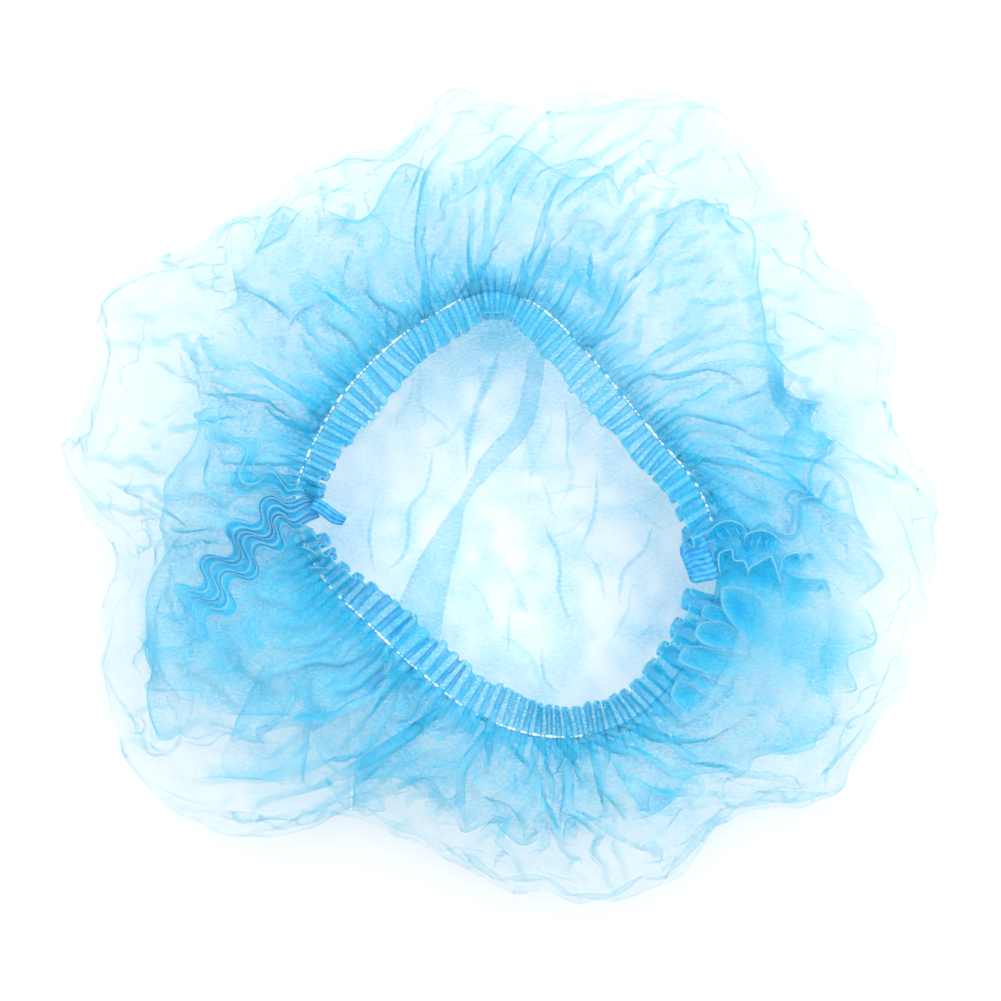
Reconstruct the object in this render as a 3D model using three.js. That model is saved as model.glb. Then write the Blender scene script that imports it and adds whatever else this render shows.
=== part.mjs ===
// A disposable bouffant cap of sheer non-woven cloth, opened out and lying crown down with its mouth up.
// One web of cloth makes the crown. Its two long edges are hems, each gathered on an elastic thread,
// and the web's two ends are folded into accordion pleats and welded, at the left and right of the mouth.
// Millimetres, +Z up. The origin is on the floor under the middle of the crown's outline.
import * as THREE from "three";
import { mergeVertices } from "three/addons/utils/BufferGeometryUtils.js";

// Driving dimensions
const WALL = 1.0;
const CREST_HEIGHT = 50;
const GATHER_PITCH = 5.5;
const CROWN_GATHERS = 90;
const ELASTIC_DIAMETER = 1.3;
const ELASTIC_SEAT = 1.05;
const ELASTIC_STEPS = 36;
const HEM_WIDTH = 16;
const PIECE_GAP = 0.3;

// The crown's outline seen from above: one row for each lobe and each notch between lobes.
const OUTLINE = [
  { at: 0, reach: 167 },
  { at: 9, reach: 158 },
  { at: 16, reach: 158 },
  { at: 24, reach: 166 },
  { at: 33, reach: 158 },
  { at: 46, reach: 161 },
  { at: 61, reach: 173 },
  { at: 68, reach: 170 },
  { at: 76, reach: 163 },
  { at: 86, reach: 156 },
  { at: 97, reach: 159 },
  { at: 109, reach: 144 },
  { at: 118, reach: 151 },
  { at: 126, reach: 148 },
  { at: 136, reach: 152 },
  { at: 154, reach: 172 },
  { at: 163, reach: 167 },
  { at: 173, reach: 171 },
  { at: 190, reach: 153 },
  { at: 203, reach: 169 },
  { at: 216, reach: 180 },
  { at: 230, reach: 172 },
  { at: 246, reach: 138 },
  { at: 254, reach: 138 },
  { at: 274, reach: 156 },
  { at: 289, reach: 166 },
  { at: 306, reach: 155 },
  { at: 320, reach: 175 },
  { at: 328, reach: 171 },
  { at: 335, reach: 175 },
  { at: 342, reach: 170 },
  { at: 354, reach: 172 },
];

// The elastic line around the mouth, as it lies relaxed.
const ELASTIC_LINE = [
  { at: 0, radius: 77 },
  { at: 20, radius: 64 },
  { at: 42, radius: 60.5 },
  { at: 62, radius: 65 },
  { at: 90, radius: 78.5 },
  { at: 112, radius: 74 },
  { at: 135, radius: 71.5 },
  { at: 160, radius: 74 },
  { at: 183, radius: 79 },
  { at: 205, radius: 75 },
  { at: 223, radius: 70.5 },
  { at: 245, radius: 74 },
  { at: 262, radius: 83 },
  { at: 283, radius: 94.5 },
  { at: 300, radius: 99 },
  { at: 318, radius: 95 },
  { at: 342, radius: 87 },
];

// How far the hem reaches inwards over the mouth. Where it reaches less than its width it stands up.
const HEM_REACH = [
  { at: 5, reach: 12 },
  { at: 40, reach: 14.5 },
  { at: 66, reach: 13.5 },
  { at: 90, reach: 6.5 },
  { at: 112, reach: 13 },
  { at: 150, reach: 14.5 },
  { at: 180, reach: 9 },
  { at: 200, reach: 7 },
  { at: 225, reach: 14.5 },
  { at: 262, reach: 14.8 },
  { at: 285, reach: 12.5 },
  { at: 315, reach: 11 },
  { at: 332, reach: 7 },
  { at: 350, reach: 9.5 },
];

// Dents that run outwards over the crown, one row each.
const DENTS = [
  { at: 12, halfWidth: 7, depth: 9 },
  { at: 34, halfWidth: 6, depth: 10 },
  { at: 54, halfWidth: 7, depth: 5 },
  { at: 86, halfWidth: 6, depth: 9 },
  { at: 110, halfWidth: 6, depth: 11 },
  { at: 127, halfWidth: 5, depth: 8 },
  { at: 146, halfWidth: 6, depth: 6 },
  { at: 163, halfWidth: 5, depth: 8 },
  { at: 193, halfWidth: 11, depth: 14 },
  { at: 224, halfWidth: 6, depth: 6 },
  { at: 250, halfWidth: 9, depth: 12 },
  { at: 281, halfWidth: 6, depth: 8 },
  { at: 306, halfWidth: 6, depth: 10 },
  { at: 328, halfWidth: 4, depth: 6 },
  { at: 346, halfWidth: 9, depth: 10 },
];

// The crown's section from the elastic out over the crest and down to the floor.
// share: how far from elastic to outline, level: height over crest height,
// dent: share of a dent's depth, gather: height of the gathers either side of the section.
const SECTION = [
  { share: 0.0, level: 0.76, dent: 0.0, gather: 2.1 },
  { share: 0.1, level: 0.86, dent: 0.15, gather: 1.9 },
  { share: 0.23, level: 0.95, dent: 0.5, gather: 1.3 },
  { share: 0.38, level: 1.0, dent: 0.85, gather: 0.6 },
  { share: 0.55, level: 0.98, dent: 1.0, gather: 0.0 },
  { share: 0.72, level: 0.87, dent: 0.9, gather: 0.0 },
  { share: 0.86, level: 0.67, dent: 0.6, gather: 0.0 },
  { share: 0.95, level: 0.44, dent: 0.3, gather: 0.0 },
  { share: 1.0, level: 0.2, dent: 0.0, gather: 0.0 },
  { share: 0.975, level: 0.06, dent: 0.0, gather: 0.0 },
  { share: 0.9, level: 0.0, dent: 0.0, gather: 0.0 },
];
const GATHERED_ROWS = 4;

// Hem rows from the elastic to the free edge. gather: height of the gathers either side of the hem.
const HEM_ROWS = [
  { share: 0.0, gather: 1.5 },
  { share: 0.5, gather: 2.0 },
  { share: 1.0, gather: 1.5 },
];

// The two welded ends. at is the end's angle round the mouth, clear the angle that the hems keep from it,
// and weld the tab that points into the mouth: its heading, its middle height, its run along that heading,
// and its ribbed stack of folds across it.
// route is the middle line of the accordion pleats, from the weld outwards.
const ENDS = [
  {
    name: "left",
    at: 185,
    clear: 11,
    weld: { turn: -30, middle: 45, run: 14, stack: 5, height: 8, ribs: 3 },
    route: [
      { x: -72.3, y: -2.5 },
      { x: -76.6, y: 0 },
      { x: -93, y: -11 },
      { x: -111, y: -30 },
      { x: -126, y: -52 },
    ],
    folds: 5,
    tightWidth: 6,
    openWidth: 27,
    depth: 5.5,
    sway: 2.4,
  },
  {
    name: "right",
    at: 342,
    clear: 8,
    weld: { turn: 200, middle: 45, run: 8, stack: 17, height: 6, ribs: 8 },
    route: [
      { x: 80, y: -23 },
      { x: 84.7, y: -21.3 },
      { x: 98, y: -12 },
      { x: 111, y: -2 },
      { x: 119, y: 15 },
    ],
    folds: 5,
    tightWidth: 14,
    openWidth: 25,
    depth: 6,
    sway: 2.2,
  },
];
const SWAY_LENGTH = 14;
const PLEAT_STATIONS = 22;
const PLEAT_WALL_DROP = 2.0;
const PLEAT_CLEARANCE = 0.9;

const CLOTH = { color: 0x4fbdf0, roughness: 0.85, metalness: 0 };
const CLOTH_STACKED = { color: 0x2ba3e3, roughness: 0.75, metalness: 0 };
const ELASTIC_WHITE = { color: 0xf4f8fa, roughness: 0.6, metalness: 0 };

const TURN = 360;
const radians = THREE.MathUtils.degToRad;

// A smooth closed curve of one column of a table, as a function of the angle in degrees.
function around(table, column) {
  const count = table.length;
  const row = (k) => table[((k % count) + count) % count];
  const angle = (k) => row(k).at + TURN * Math.floor(k / count);
  const slope = (k) => (row(k + 1)[column] - row(k - 1)[column]) / (angle(k + 1) - angle(k - 1));
  return (degrees) => {
    const at = THREE.MathUtils.euclideanModulo(degrees - table[0].at, TURN) + table[0].at;
    let k = count - 1;
    while (angle(k) > at) k -= 1;
    const span = angle(k + 1) - angle(k);
    const t = (at - angle(k)) / span;
    const rise = row(k + 1)[column] - row(k)[column];
    const start = slope(k) * span;
    const end = slope(k + 1) * span;
    return row(k)[column] + t * (start + t * (3 * rise - 2 * start - end + t * (start + end - 2 * rise)));
  };
}

const outlineReach = around(OUTLINE, "reach");
const elasticRadius = around(ELASTIC_LINE, "radius");
const hemReach = around(HEM_REACH, "reach");
const elasticHeight = SECTION[0].level * CREST_HEIGHT;

// The smaller turn between two angles, in degrees.
function apart(a, b) {
  return Math.abs(THREE.MathUtils.euclideanModulo(a - b + TURN / 2, TURN) - TURN / 2);
}

function dentDepth(degrees) {
  return DENTS.reduce((sum, d) => sum + d.depth * Math.exp(-((apart(degrees, d.at) / d.halfWidth) ** 2)), 0);
}

// A point from its angle, radius and height.
function polar(degrees, radius, height) {
  const a = radians(degrees);
  return new THREE.Vector3(radius * Math.cos(a), radius * Math.sin(a), height);
}

// Angles from one end to the other at equal distances along the elastic line.
function evenAngles(from, to, count) {
  const steps = 720;
  const walked = [0];
  let last = polar(from, elasticRadius(from), 0);
  for (let k = 1; k <= steps; k += 1) {
    const at = from + ((to - from) * k) / steps;
    const here = polar(at, elasticRadius(at), 0);
    walked.push(walked[k - 1] + here.distanceTo(last));
    last = here;
  }
  const angles = [];
  let k = 0;
  for (let n = 0; n <= count; n += 1) {
    const wanted = (walked[steps] * n) / count;
    while (k < steps - 1 && walked[k + 1] < wanted) k += 1;
    const t = (wanted - walked[k]) / (walked[k + 1] - walked[k]);
    angles.push(from + ((to - from) * (k + t)) / steps);
  }
  return { angles, length: walked[steps] };
}

// The crown's section at one angle, as points of radius and height.
function sectionAt(degrees) {
  const inner = elasticRadius(degrees) + ELASTIC_SEAT;
  const reach = outlineReach(degrees);
  const dent = dentDepth(degrees);
  return SECTION.map((row) => ({
    radius: inner + row.share * (reach - inner),
    height: row.level * CREST_HEIGHT - row.dent * dent,
  }));
}

// A section moved inwards by the wall, along the mean of the normals on either side of each point.
function inset(section) {
  const normal = (a, b) => {
    const length = Math.hypot(b.radius - a.radius, b.height - a.height);
    return { radius: (b.height - a.height) / length, height: -(b.radius - a.radius) / length };
  };
  return section.map((point, k) => {
    const before = normal(section[Math.max(k - 1, 0)], section[Math.max(k, 1)]);
    const last = section.length - 1;
    const after = k === last ? { radius: 0, height: 1 } : normal(section[k], section[k + 1]);
    const sum = { radius: before.radius + after.radius, height: before.height + after.height };
    const length = Math.hypot(sum.radius, sum.height);
    return {
      radius: point.radius + (WALL * sum.radius) / length,
      height: k === last ? WALL : point.height + (WALL * sum.height) / length,
    };
  });
}

// Collects the triangles of a closed surface.
class Surface {
  constructor() {
    this.points = [];
    this.faces = [];
  }

  add(points) {
    const first = this.points.length;
    this.points.push(...points);
    return points.map((_, k) => first + k);
  }

  // A strip between two lines of equal length, or from a line to one with half as many points.
  strip(a, b, closed) {
    const cells = closed ? b.length : b.length - 1;
    const ratio = Math.round(a.length / b.length);
    for (let k = 0; k < cells; k += 1) {
      const next = (k + 1) % b.length;
      const a0 = a[(k * ratio) % a.length];
      const a1 = a[((k + 1) * ratio) % a.length];
      if (ratio === 2) {
        const middle = a[k * ratio + 1];
        this.faces.push(a0, middle, b[k], middle, b[next], b[k], middle, a1, b[next]);
      } else {
        this.faces.push(a0, a1, b[next], a0, b[next], b[k]);
      }
    }
  }

  fan(ring, centre) {
    ring.forEach((point, k) => this.faces.push(point, ring[(k + 1) % ring.length], centre));
  }

  geometry() {
    const made = new THREE.BufferGeometry().setFromPoints(this.points);
    made.setIndex(this.faces);
    return mergeVertices(made, 1e-4);
  }
}

// The crown: a shell from the elastic over the crest and the outline to a flat base on the floor.
function crownGeometry() {
  const columns = 2 * CROWN_GATHERS;
  const { angles } = evenAngles(ENDS[0].at, ENDS[0].at + TURN, columns);
  angles.pop();
  const skins = [(section) => section, inset].map((skin) => angles.map((at) => skin(sectionAt(at))));
  const shell = new Surface();
  const rims = [];
  skins.forEach((sections, inside) => {
    const rings = SECTION.map((row, k) => {
      const every = k < GATHERED_ROWS ? 1 : 2;
      const points = [];
      for (let c = 0; c < columns; c += every) {
        const side = c % 2 === 0 ? 1 : -1;
        const { radius, height } = sections[c][k];
        points.push(polar(angles[c], radius, height + side * row.gather));
      }
      return shell.add(points);
    });
    const [centre] = shell.add([new THREE.Vector3(0, 0, inside ? WALL : 0)]);
    const first = shell.faces.length;
    rings.slice(1).forEach((ring, k) => shell.strip(rings[k], ring, true));
    shell.fan(rings[rings.length - 1], centre);
    if (!inside) turnRound(shell.faces, first);
    rims.push(rings[0]);
  });
  shell.strip(rims[0], rims[1], true);
  return shell.geometry();
}

// Turns the triangles from one place in a list to its end, so that they face the other way.
function turnRound(faces, first) {
  for (let k = first; k < faces.length; k += 3) [faces[k + 1], faces[k + 2]] = [faces[k + 2], faces[k + 1]];
}

// A gathered hem from one weld to the other, lying over the mouth or standing up beside it.
function hemGeometry(from, to) {
  const { length } = evenAngles(from, to, 1);
  const { angles } = evenAngles(from, to, 2 * Math.round(length / GATHER_PITCH));
  const cloth = new Surface();
  const sides = [1, -1].map((face) =>
    HEM_ROWS.map((row) =>
      cloth.add(
        angles.map((at, c) => {
          const reach = hemReach(at);
          const along = { radius: -reach / HEM_WIDTH, height: Math.sqrt(1 - (reach / HEM_WIDTH) ** 2) };
          const out = { radius: along.height, height: -along.radius };
          const width = row.share * (HEM_WIDTH - ELASTIC_SEAT);
          const side = (c % 2 === 0 ? 1 : -1) * row.gather + (face * WALL) / 2;
          const start = elasticRadius(at) - ELASTIC_SEAT - out.radius * (HEM_ROWS[0].gather + WALL / 2);
          return polar(
            at,
            start + width * along.radius + side * out.radius,
            elasticHeight + width * along.height + side * out.height,
          );
        }),
      ),
    ),
  );
  const [top, under] = sides;
  const last = HEM_ROWS.length - 1;
  for (let k = 0; k < last; k += 1) {
    cloth.strip(top[k], top[k + 1], false);
    cloth.strip(under[k + 1], under[k], false);
  }
  cloth.strip(under[0], top[0], false);
  cloth.strip(top[last], under[last], false);
  const endLine = (side, c) => side.map((line) => line[c]);
  const lastColumn = angles.length - 1;
  cloth.strip(endLine(top, 0), endLine(under, 0), false);
  cloth.strip(endLine(under, lastColumn), endLine(top, lastColumn), false);
  return cloth.geometry();
}

// An elastic thread along the elastic line, between the crown's edge and the hem.
function elasticGeometry(from, to) {
  const { angles } = evenAngles(from, to, ELASTIC_STEPS);
  const route = new THREE.CatmullRomCurve3(angles.map((at) => polar(at, elasticRadius(at), elasticHeight)));
  const round = new THREE.Shape();
  const sides = 8;
  for (let k = 0; k < sides; k += 1) {
    const a = (2 * Math.PI * k) / sides;
    const x = (ELASTIC_DIAMETER / 2) * Math.cos(a);
    const y = (ELASTIC_DIAMETER / 2) * Math.sin(a);
    if (k === 0) round.moveTo(x, y);
    else round.lineTo(x, y);
  }
  return new THREE.ExtrudeGeometry(round, { steps: ELASTIC_STEPS, extrudePath: route });
}

// Height of the crown's cloth, gathers included, at a place seen from above.
function crownTop(x, y) {
  const degrees = THREE.MathUtils.radToDeg(Math.atan2(y, x));
  const inner = elasticRadius(degrees) + ELASTIC_SEAT;
  const share = (Math.hypot(x, y) - inner) / (outlineReach(degrees) - inner);
  const dent = dentDepth(degrees);
  const height = (row) => row.level * CREST_HEIGHT - row.dent * dent + row.gather;
  if (share <= 0) return height(SECTION[0]);
  const k = SECTION.findIndex((row) => row.share >= share);
  const t = (share - SECTION[k - 1].share) / (SECTION[k].share - SECTION[k - 1].share);
  return THREE.MathUtils.lerp(height(SECTION[k - 1]), height(SECTION[k]), t);
}

// The accordion pleats at one end: upright folds that sway from side to side and open out over the crown.
function endPleatsGeometry(end) {
  const route = new THREE.CatmullRomCurve3(end.route.map((p) => new THREE.Vector3(p.x, p.y, 0)));
  const length = route.getLength();
  const cloth = new Surface();
  const lines = [0, -PLEAT_WALL_DROP].map((drop) => {
    const rows = [];
    for (let s = 0; s <= PLEAT_STATIONS; s += 1) {
      const t = s / PLEAT_STATIONS;
      const middle = route.getPointAt(t);
      const heading = route.getTangentAt(t);
      const width = THREE.MathUtils.lerp(end.tightWidth, end.openWidth, Math.sqrt(t));
      const sway = end.sway * Math.min(1, 3 * t) * Math.sin((2 * Math.PI * t * length) / SWAY_LENGTH);
      const row = [];
      for (let f = 0; f <= 2 * end.folds; f += 1) {
        const across = (f / (2 * end.folds) - 0.5) * width + sway;
        const x = middle.x - heading.y * across;
        const y = middle.y + heading.x * across;
        const fold = f % 2 === 0 ? 0 : end.depth * (1 - 0.5 * t);
        row.push(new THREE.Vector3(x, y, crownTop(x, y) + PLEAT_CLEARANCE + PLEAT_WALL_DROP + fold + drop));
      }
      rows.push(cloth.add(row));
    }
    return rows;
  });
  const [top, under] = lines;
  for (let s = 0; s < PLEAT_STATIONS; s += 1) {
    cloth.strip(top[s + 1], top[s], false);
    cloth.strip(under[s], under[s + 1], false);
  }
  cloth.strip(under[PLEAT_STATIONS], top[PLEAT_STATIONS], false);
  cloth.strip(top[0], under[0], false);
  const side = (rows, f) => rows.map((row) => row[f]);
  const lastFold = 2 * end.folds;
  cloth.strip(side(under, 0), side(top, 0), false);
  cloth.strip(side(top, lastFold), side(under, lastFold), false);
  return cloth.geometry();
}

// A weld: the web's folded end pressed into one ribbed stack, running along +X from a small gap.
function weldGeometry(weld) {
  const profile = new THREE.Shape();
  const rib = weld.stack / weld.ribs;
  const groove = rib * 0.35;
  profile.moveTo(0, 0);
  for (let k = 0; k < weld.ribs; k += 1) {
    profile.lineTo(k * rib, weld.height - groove);
    profile.lineTo((k + 0.5) * rib, weld.height);
  }
  profile.lineTo(weld.stack, weld.height - groove);
  profile.lineTo(weld.stack, 0);
  const made = new THREE.ExtrudeGeometry(profile, { depth: weld.run, bevelEnabled: false });
  made.translate(-weld.stack / 2, -weld.height / 2, PIECE_GAP);
  return made.rotateX(Math.PI / 2).rotateZ(Math.PI / 2);
}

function piece(name, geometry, finish) {
  const mesh = new THREE.Mesh(geometry, new THREE.MeshStandardMaterial(finish));
  mesh.name = name;
  return mesh;
}

const cap = new THREE.Group();
cap.add(piece("crown", crownGeometry(), CLOTH));

const [left, right] = ENDS;
const spans = [
  { name: "upper", from: right.at - TURN + right.clear, to: left.at - left.clear },
  { name: "lower", from: left.at + left.clear, to: right.at - right.clear },
];
spans.forEach((span) => {
  cap.add(piece(`hem_${span.name}`, hemGeometry(span.from, span.to), CLOTH));
  cap.add(piece(`elastic_${span.name}`, elasticGeometry(span.from, span.to), ELASTIC_WHITE));
});

ENDS.forEach((end) => {
  cap.add(piece(`end_pleats_${end.name}`, endPleatsGeometry(end), CLOTH_STACKED));
  const weld = piece(`weld_${end.name}`, weldGeometry(end.weld), CLOTH_STACKED);
  weld.position.set(end.route[0].x, end.route[0].y, end.weld.middle);
  weld.rotation.z = radians(end.weld.turn);
  cap.add(weld);
});

export default cap;
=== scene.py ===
"""Dresses a disposable bouffant cap: sheer non-woven cloth, gathered on elastic, lying open on a pale floor.

Sizes are in millimetres until a mesh is made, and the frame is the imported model's: +X right, +Y up the
picture, +Z towards the camera, with the floor at Z = 0.
"""

import logging
import math
from dataclasses import dataclass, field
from enum import Enum
from typing import NamedTuple

import bpy
import numpy as np
from bpy.types import Material, Mesh, Node, NodeSocket, NodeTree, Object, Scene
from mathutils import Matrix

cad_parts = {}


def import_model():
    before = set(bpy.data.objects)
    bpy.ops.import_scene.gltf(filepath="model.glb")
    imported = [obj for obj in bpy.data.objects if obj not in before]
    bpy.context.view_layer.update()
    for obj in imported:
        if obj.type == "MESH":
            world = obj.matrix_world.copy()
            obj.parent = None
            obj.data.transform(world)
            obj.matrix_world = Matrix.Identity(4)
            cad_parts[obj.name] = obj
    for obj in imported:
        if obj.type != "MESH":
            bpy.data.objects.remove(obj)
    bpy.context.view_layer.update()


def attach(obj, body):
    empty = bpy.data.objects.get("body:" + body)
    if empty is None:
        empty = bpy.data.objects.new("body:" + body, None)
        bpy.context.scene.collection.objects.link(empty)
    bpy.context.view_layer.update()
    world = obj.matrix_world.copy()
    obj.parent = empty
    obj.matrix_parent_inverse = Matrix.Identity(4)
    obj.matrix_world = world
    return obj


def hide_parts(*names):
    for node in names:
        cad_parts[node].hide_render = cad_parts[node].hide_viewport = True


LOG = logging.getLogger("bouffant_cap")
MM = 0.001
BODY = "root"
TURN = 360.0
Array = np.ndarray
Colour = tuple[float, float, float, float]
Pairs = tuple[tuple[float, float], ...]
Block = tuple[Array, list[Array]]


class Slot(Enum):
    """The record's material slots."""

    CLOTH = "nonwoven"
    WELD = "weld"
    ELASTIC = "elastic"


class Spot(NamedTuple):
    """One place on a closed curve round the mouth: its angle, and its radius or another measure there."""

    at: float
    reach: float


class Dent(NamedTuple):
    """A dent that runs outwards over the crown."""

    at: float
    half_width: float
    depth: float


class Section(NamedTuple):
    """One place on the crown's section: share of the way out, height over crest height, share of a dent."""

    share: float
    level: float
    dent: float


class Crease(NamedTuple):
    """A pinched crease or tuck in the base: its points as x, y and width."""

    points: tuple[tuple[float, float, float], ...]


# Curves round the cap, as read: degrees from +X and a radius, or for the hem its reach, in millimetres.
OUTLINE = (
    Spot(0, 167), Spot(9, 158), Spot(16, 158), Spot(24, 166), Spot(33, 158), Spot(46, 161), Spot(61, 173),
    Spot(68, 170), Spot(76, 163), Spot(86, 156), Spot(97, 159), Spot(109, 144), Spot(118, 151),
    Spot(126, 148), Spot(136, 152), Spot(154, 172), Spot(163, 167), Spot(173, 171), Spot(190, 153),
    Spot(203, 169), Spot(216, 180), Spot(230, 172), Spot(246, 138), Spot(254, 138), Spot(274, 156),
    Spot(289, 166), Spot(306, 155), Spot(320, 175), Spot(328, 171), Spot(335, 175), Spot(342, 170),
    Spot(354, 172),
)
ELASTIC_LINE = (
    Spot(0, 77), Spot(20, 64), Spot(42, 60.5), Spot(62, 65), Spot(90, 78.5), Spot(112, 74),
    Spot(135, 71.5), Spot(160, 74), Spot(183, 79), Spot(205, 75), Spot(223, 70.5), Spot(245, 74),
    Spot(262, 83), Spot(283, 94.5), Spot(300, 99), Spot(318, 95), Spot(342, 87),
)
HEM_REACH = (
    Spot(5, 12), Spot(40, 14.5), Spot(66, 13.5), Spot(90, 10), Spot(112, 13), Spot(150, 14.5),
    Spot(180, 10), Spot(200, 9), Spot(225, 14.5), Spot(262, 14.8), Spot(285, 12.5), Spot(315, 12),
    Spot(332, 11), Spot(350, 10.5),
)
DENTS = (
    Dent(12, 7, 9), Dent(34, 6, 10), Dent(54, 7, 5), Dent(86, 6, 9), Dent(110, 6, 11),
    Dent(127, 5, 8), Dent(146, 6, 6), Dent(163, 5, 8), Dent(193, 11, 14), Dent(224, 6, 6),
    Dent(250, 9, 12), Dent(281, 6, 8), Dent(306, 6, 10), Dent(328, 4, 6), Dent(346, 9, 10),
)
SECTION = (
    Section(0.0, 0.76, 0.0), Section(0.1, 0.86, 0.15), Section(0.23, 0.95, 0.5),
    Section(0.38, 1.0, 0.85), Section(0.55, 0.98, 1.0), Section(0.72, 0.87, 0.9),
    Section(0.86, 0.67, 0.6), Section(0.95, 0.44, 0.3), Section(1.0, 0.2, 0.0),
)
# How closely the cloth bunches, the bunched cloth's edge, and the share of a full tuck, round the mouth.
BUNCHING = (
    Spot(0, 2.0), Spot(30, 1.1), Spot(60, 0.62), Spot(90, 0.72), Spot(125, 1.25), Spot(160, 1.7),
    Spot(190, 1.9), Spot(225, 2.3), Spot(265, 1.45), Spot(300, 1.7), Spot(330, 2.1),
)
FLOUNCE = (
    Spot(5, 126), Spot(15, 118), Spot(31, 127), Spot(50, 132), Spot(71, 128), Spot(90, 132),
    Spot(102, 126), Spot(118, 124), Spot(131, 138), Spot(148, 124), Spot(167, 117), Spot(185, 130),
    Spot(202, 148), Spot(212, 143), Spot(227, 116), Spot(237, 121), Spot(248, 120), Spot(261, 123),
    Spot(280, 132), Spot(293, 137), Spot(307, 136), Spot(322, 152), Spot(335, 150), Spot(347, 147),
)
TUCKING = (
    Spot(0, 0.08), Spot(45, 0.06), Spot(110, 0.06), Spot(170, 0.06), Spot(230, 0.1), Spot(250, 0.25),
    Spot(275, 0.35), Spot(300, 0.2), Spot(330, 0.08),
)
CREST_HEIGHT = 50.0
CROWN_SPAN = 90.0
CLOTH_RUN = 105.0
RIM_WAVES = ((5.0, 1.3), (2.2, 0.8))
RIM_SEED = 71
CURL_TURNS = (28.0, 58.0, 90.0)
TENTHS = 3600
MOUTH_CENTRE = (15.0, -15.0)
LEFT_END = 185.0
RIGHT_END = 342.0
HEM_GAP = 6.0
WIDE_HEM_GAP = 7.0

CREASES = (
    Crease(((14.7, 60, 6.5), (12.3, 43.5, 7.0), (8.4, 26.7, 7.5), (-3.3, 13.8, 7.5), (-13.5, -1.6, 3.2),
            (-20, -14.2, 9.2), (-25.2, -26, 13), (-30, -40, 17), (-36, -60, 22))),
    Crease(((-1.5, 56, 4.5), (-3.3, 49.7, 4.5), (-8.4, 38, 3.6), (-11.5, 27.9, 2.2), (-13.5, 16.4, 0.9),
            (-13.8, 8.8, 0.6))),
    Crease(((-31.4, 35.7, 0.7), (-25, 30.5, 0.7), (-19.3, 24.8, 0.6))),
    Crease(((-26.9, 17.7, 0.7), (-29.4, 3.7, 0.7), (-35.9, -5.5, 0.9), (-37.8, -22, 0.9),
            (-45.4, -29.8, 0.6))),
    Crease(((-49.7, -4.1, 0.6), (-51.3, -17, 0.8), (-49.7, -29.8, 0.6))),
    Crease(((25.2, 36.9, 0.7), (26.3, 25.4, 0.9), (25.2, 15, 0.6))),
    Crease(((37.2, 8.8, 0.7), (36.1, -6.8, 0.9), (31.4, -19.7, 0.6))),
    Crease(((16.6, -10.6, 0.6), (22.4, -23.4, 0.9), (22.4, -37.5, 0.9), (27.5, -50.4, 0.6))),
    Crease(((59.1, -11.9, 0.7), (56, -20.9, 0.9), (48.2, -29.8, 1.0), (46.2, -41.4, 0.7))),
    Crease(((15.4, -59.3, 0.6), (16.6, -70.8, 0.8), (22.4, -77.3, 0.6))),
    Crease(((3.3, -41.4, 0.6), (2.5, -60.6, 0.7))),
    Crease(((32.8, -22, 0.6), (37.9, -29.8, 0.8), (40.4, -40, 0.6))),
    Crease(((59.7, -50.4, 0.6), (53.2, -55.5, 0.6))),
)


class Ring:
    """A smooth closed curve round the mouth, given as places in order of angle."""

    def __init__(self, rows: tuple[Spot, ...]) -> None:
        """Keeps the rows, repeated a turn either side, with the slope at each.

        Args:
            rows: the curve's rows in order of angle.
        """
        at = np.array([row.at for row in rows])
        reach = np.array([row.reach for row in rows])
        self._at = np.concatenate([at - TURN, at, at + TURN])
        self._reach = np.tile(reach, 3)
        self._slope = np.zeros_like(self._reach)
        self._slope[1:-1] = (self._reach[2:] - self._reach[:-2]) / (self._at[2:] - self._at[:-2])

    def reach(self, degrees: Array) -> Array:
        """The radius, or the curve's other measure, at each angle.

        Args:
            degrees: angles, in degrees, any number of turns.

        Returns:
            The curve's values.
        """
        wrapped = np.mod(degrees, TURN)
        k = np.searchsorted(self._at, wrapped, side="right") - 1
        span = self._at[k + 1] - self._at[k]
        t = (wrapped - self._at[k]) / span
        rise = self._reach[k + 1] - self._reach[k]
        start, end = self._slope[k] * span, self._slope[k + 1] * span
        return self._reach[k] + t * (start + t * (3 * rise - 2 * start - end + t * (start + end - 2 * rise)))

    def walk(self, start: float) -> tuple[Array, Array]:
        """Fine angles once round from a start in degrees, and the distance walked to each."""
        degrees = start + np.linspace(0.0, TURN, 7201)
        return degrees, walked_along(steps_along(polar(degrees, self.reach(degrees))))


def polar(degrees: Array, radius: Array) -> Array:
    """Points on the floor plane, as x and y, from angles in degrees and radii in millimetres."""
    a = np.radians(degrees)
    return np.stack([radius * np.cos(a), radius * np.sin(a)], axis=-1)


def steps_along(points: Array) -> Array:
    """Distances from each point of a line to the next."""
    return np.linalg.norm(np.diff(points, axis=0), axis=-1)


def walked_along(steps: Array) -> Array:
    """Distances walked from the start, before the first step and after each."""
    return np.concatenate([[0.0], np.cumsum(steps)])


def clamped(values: Array) -> Array:
    """Values held between zero and one."""
    return np.clip(values, 0.0, 1.0)


def hump(distance: float | Array, width: float | Array) -> float | Array:
    """A rounded hump, one at no distance and fading over its width."""
    return np.exp(-((distance / width) ** 2))


def dent_depth(degrees: Array) -> Array:
    """Depth of all the dents together at each angle.

    Args:
        degrees: angles in degrees.

    Returns:
        Depths in millimetres.
    """
    total = np.zeros_like(degrees)
    for dent in DENTS:
        apart = np.mod(degrees - dent.at + TURN / 2, TURN) - TURN / 2
        total += dent.depth * hump(apart, dent.half_width)
    return total


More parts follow.
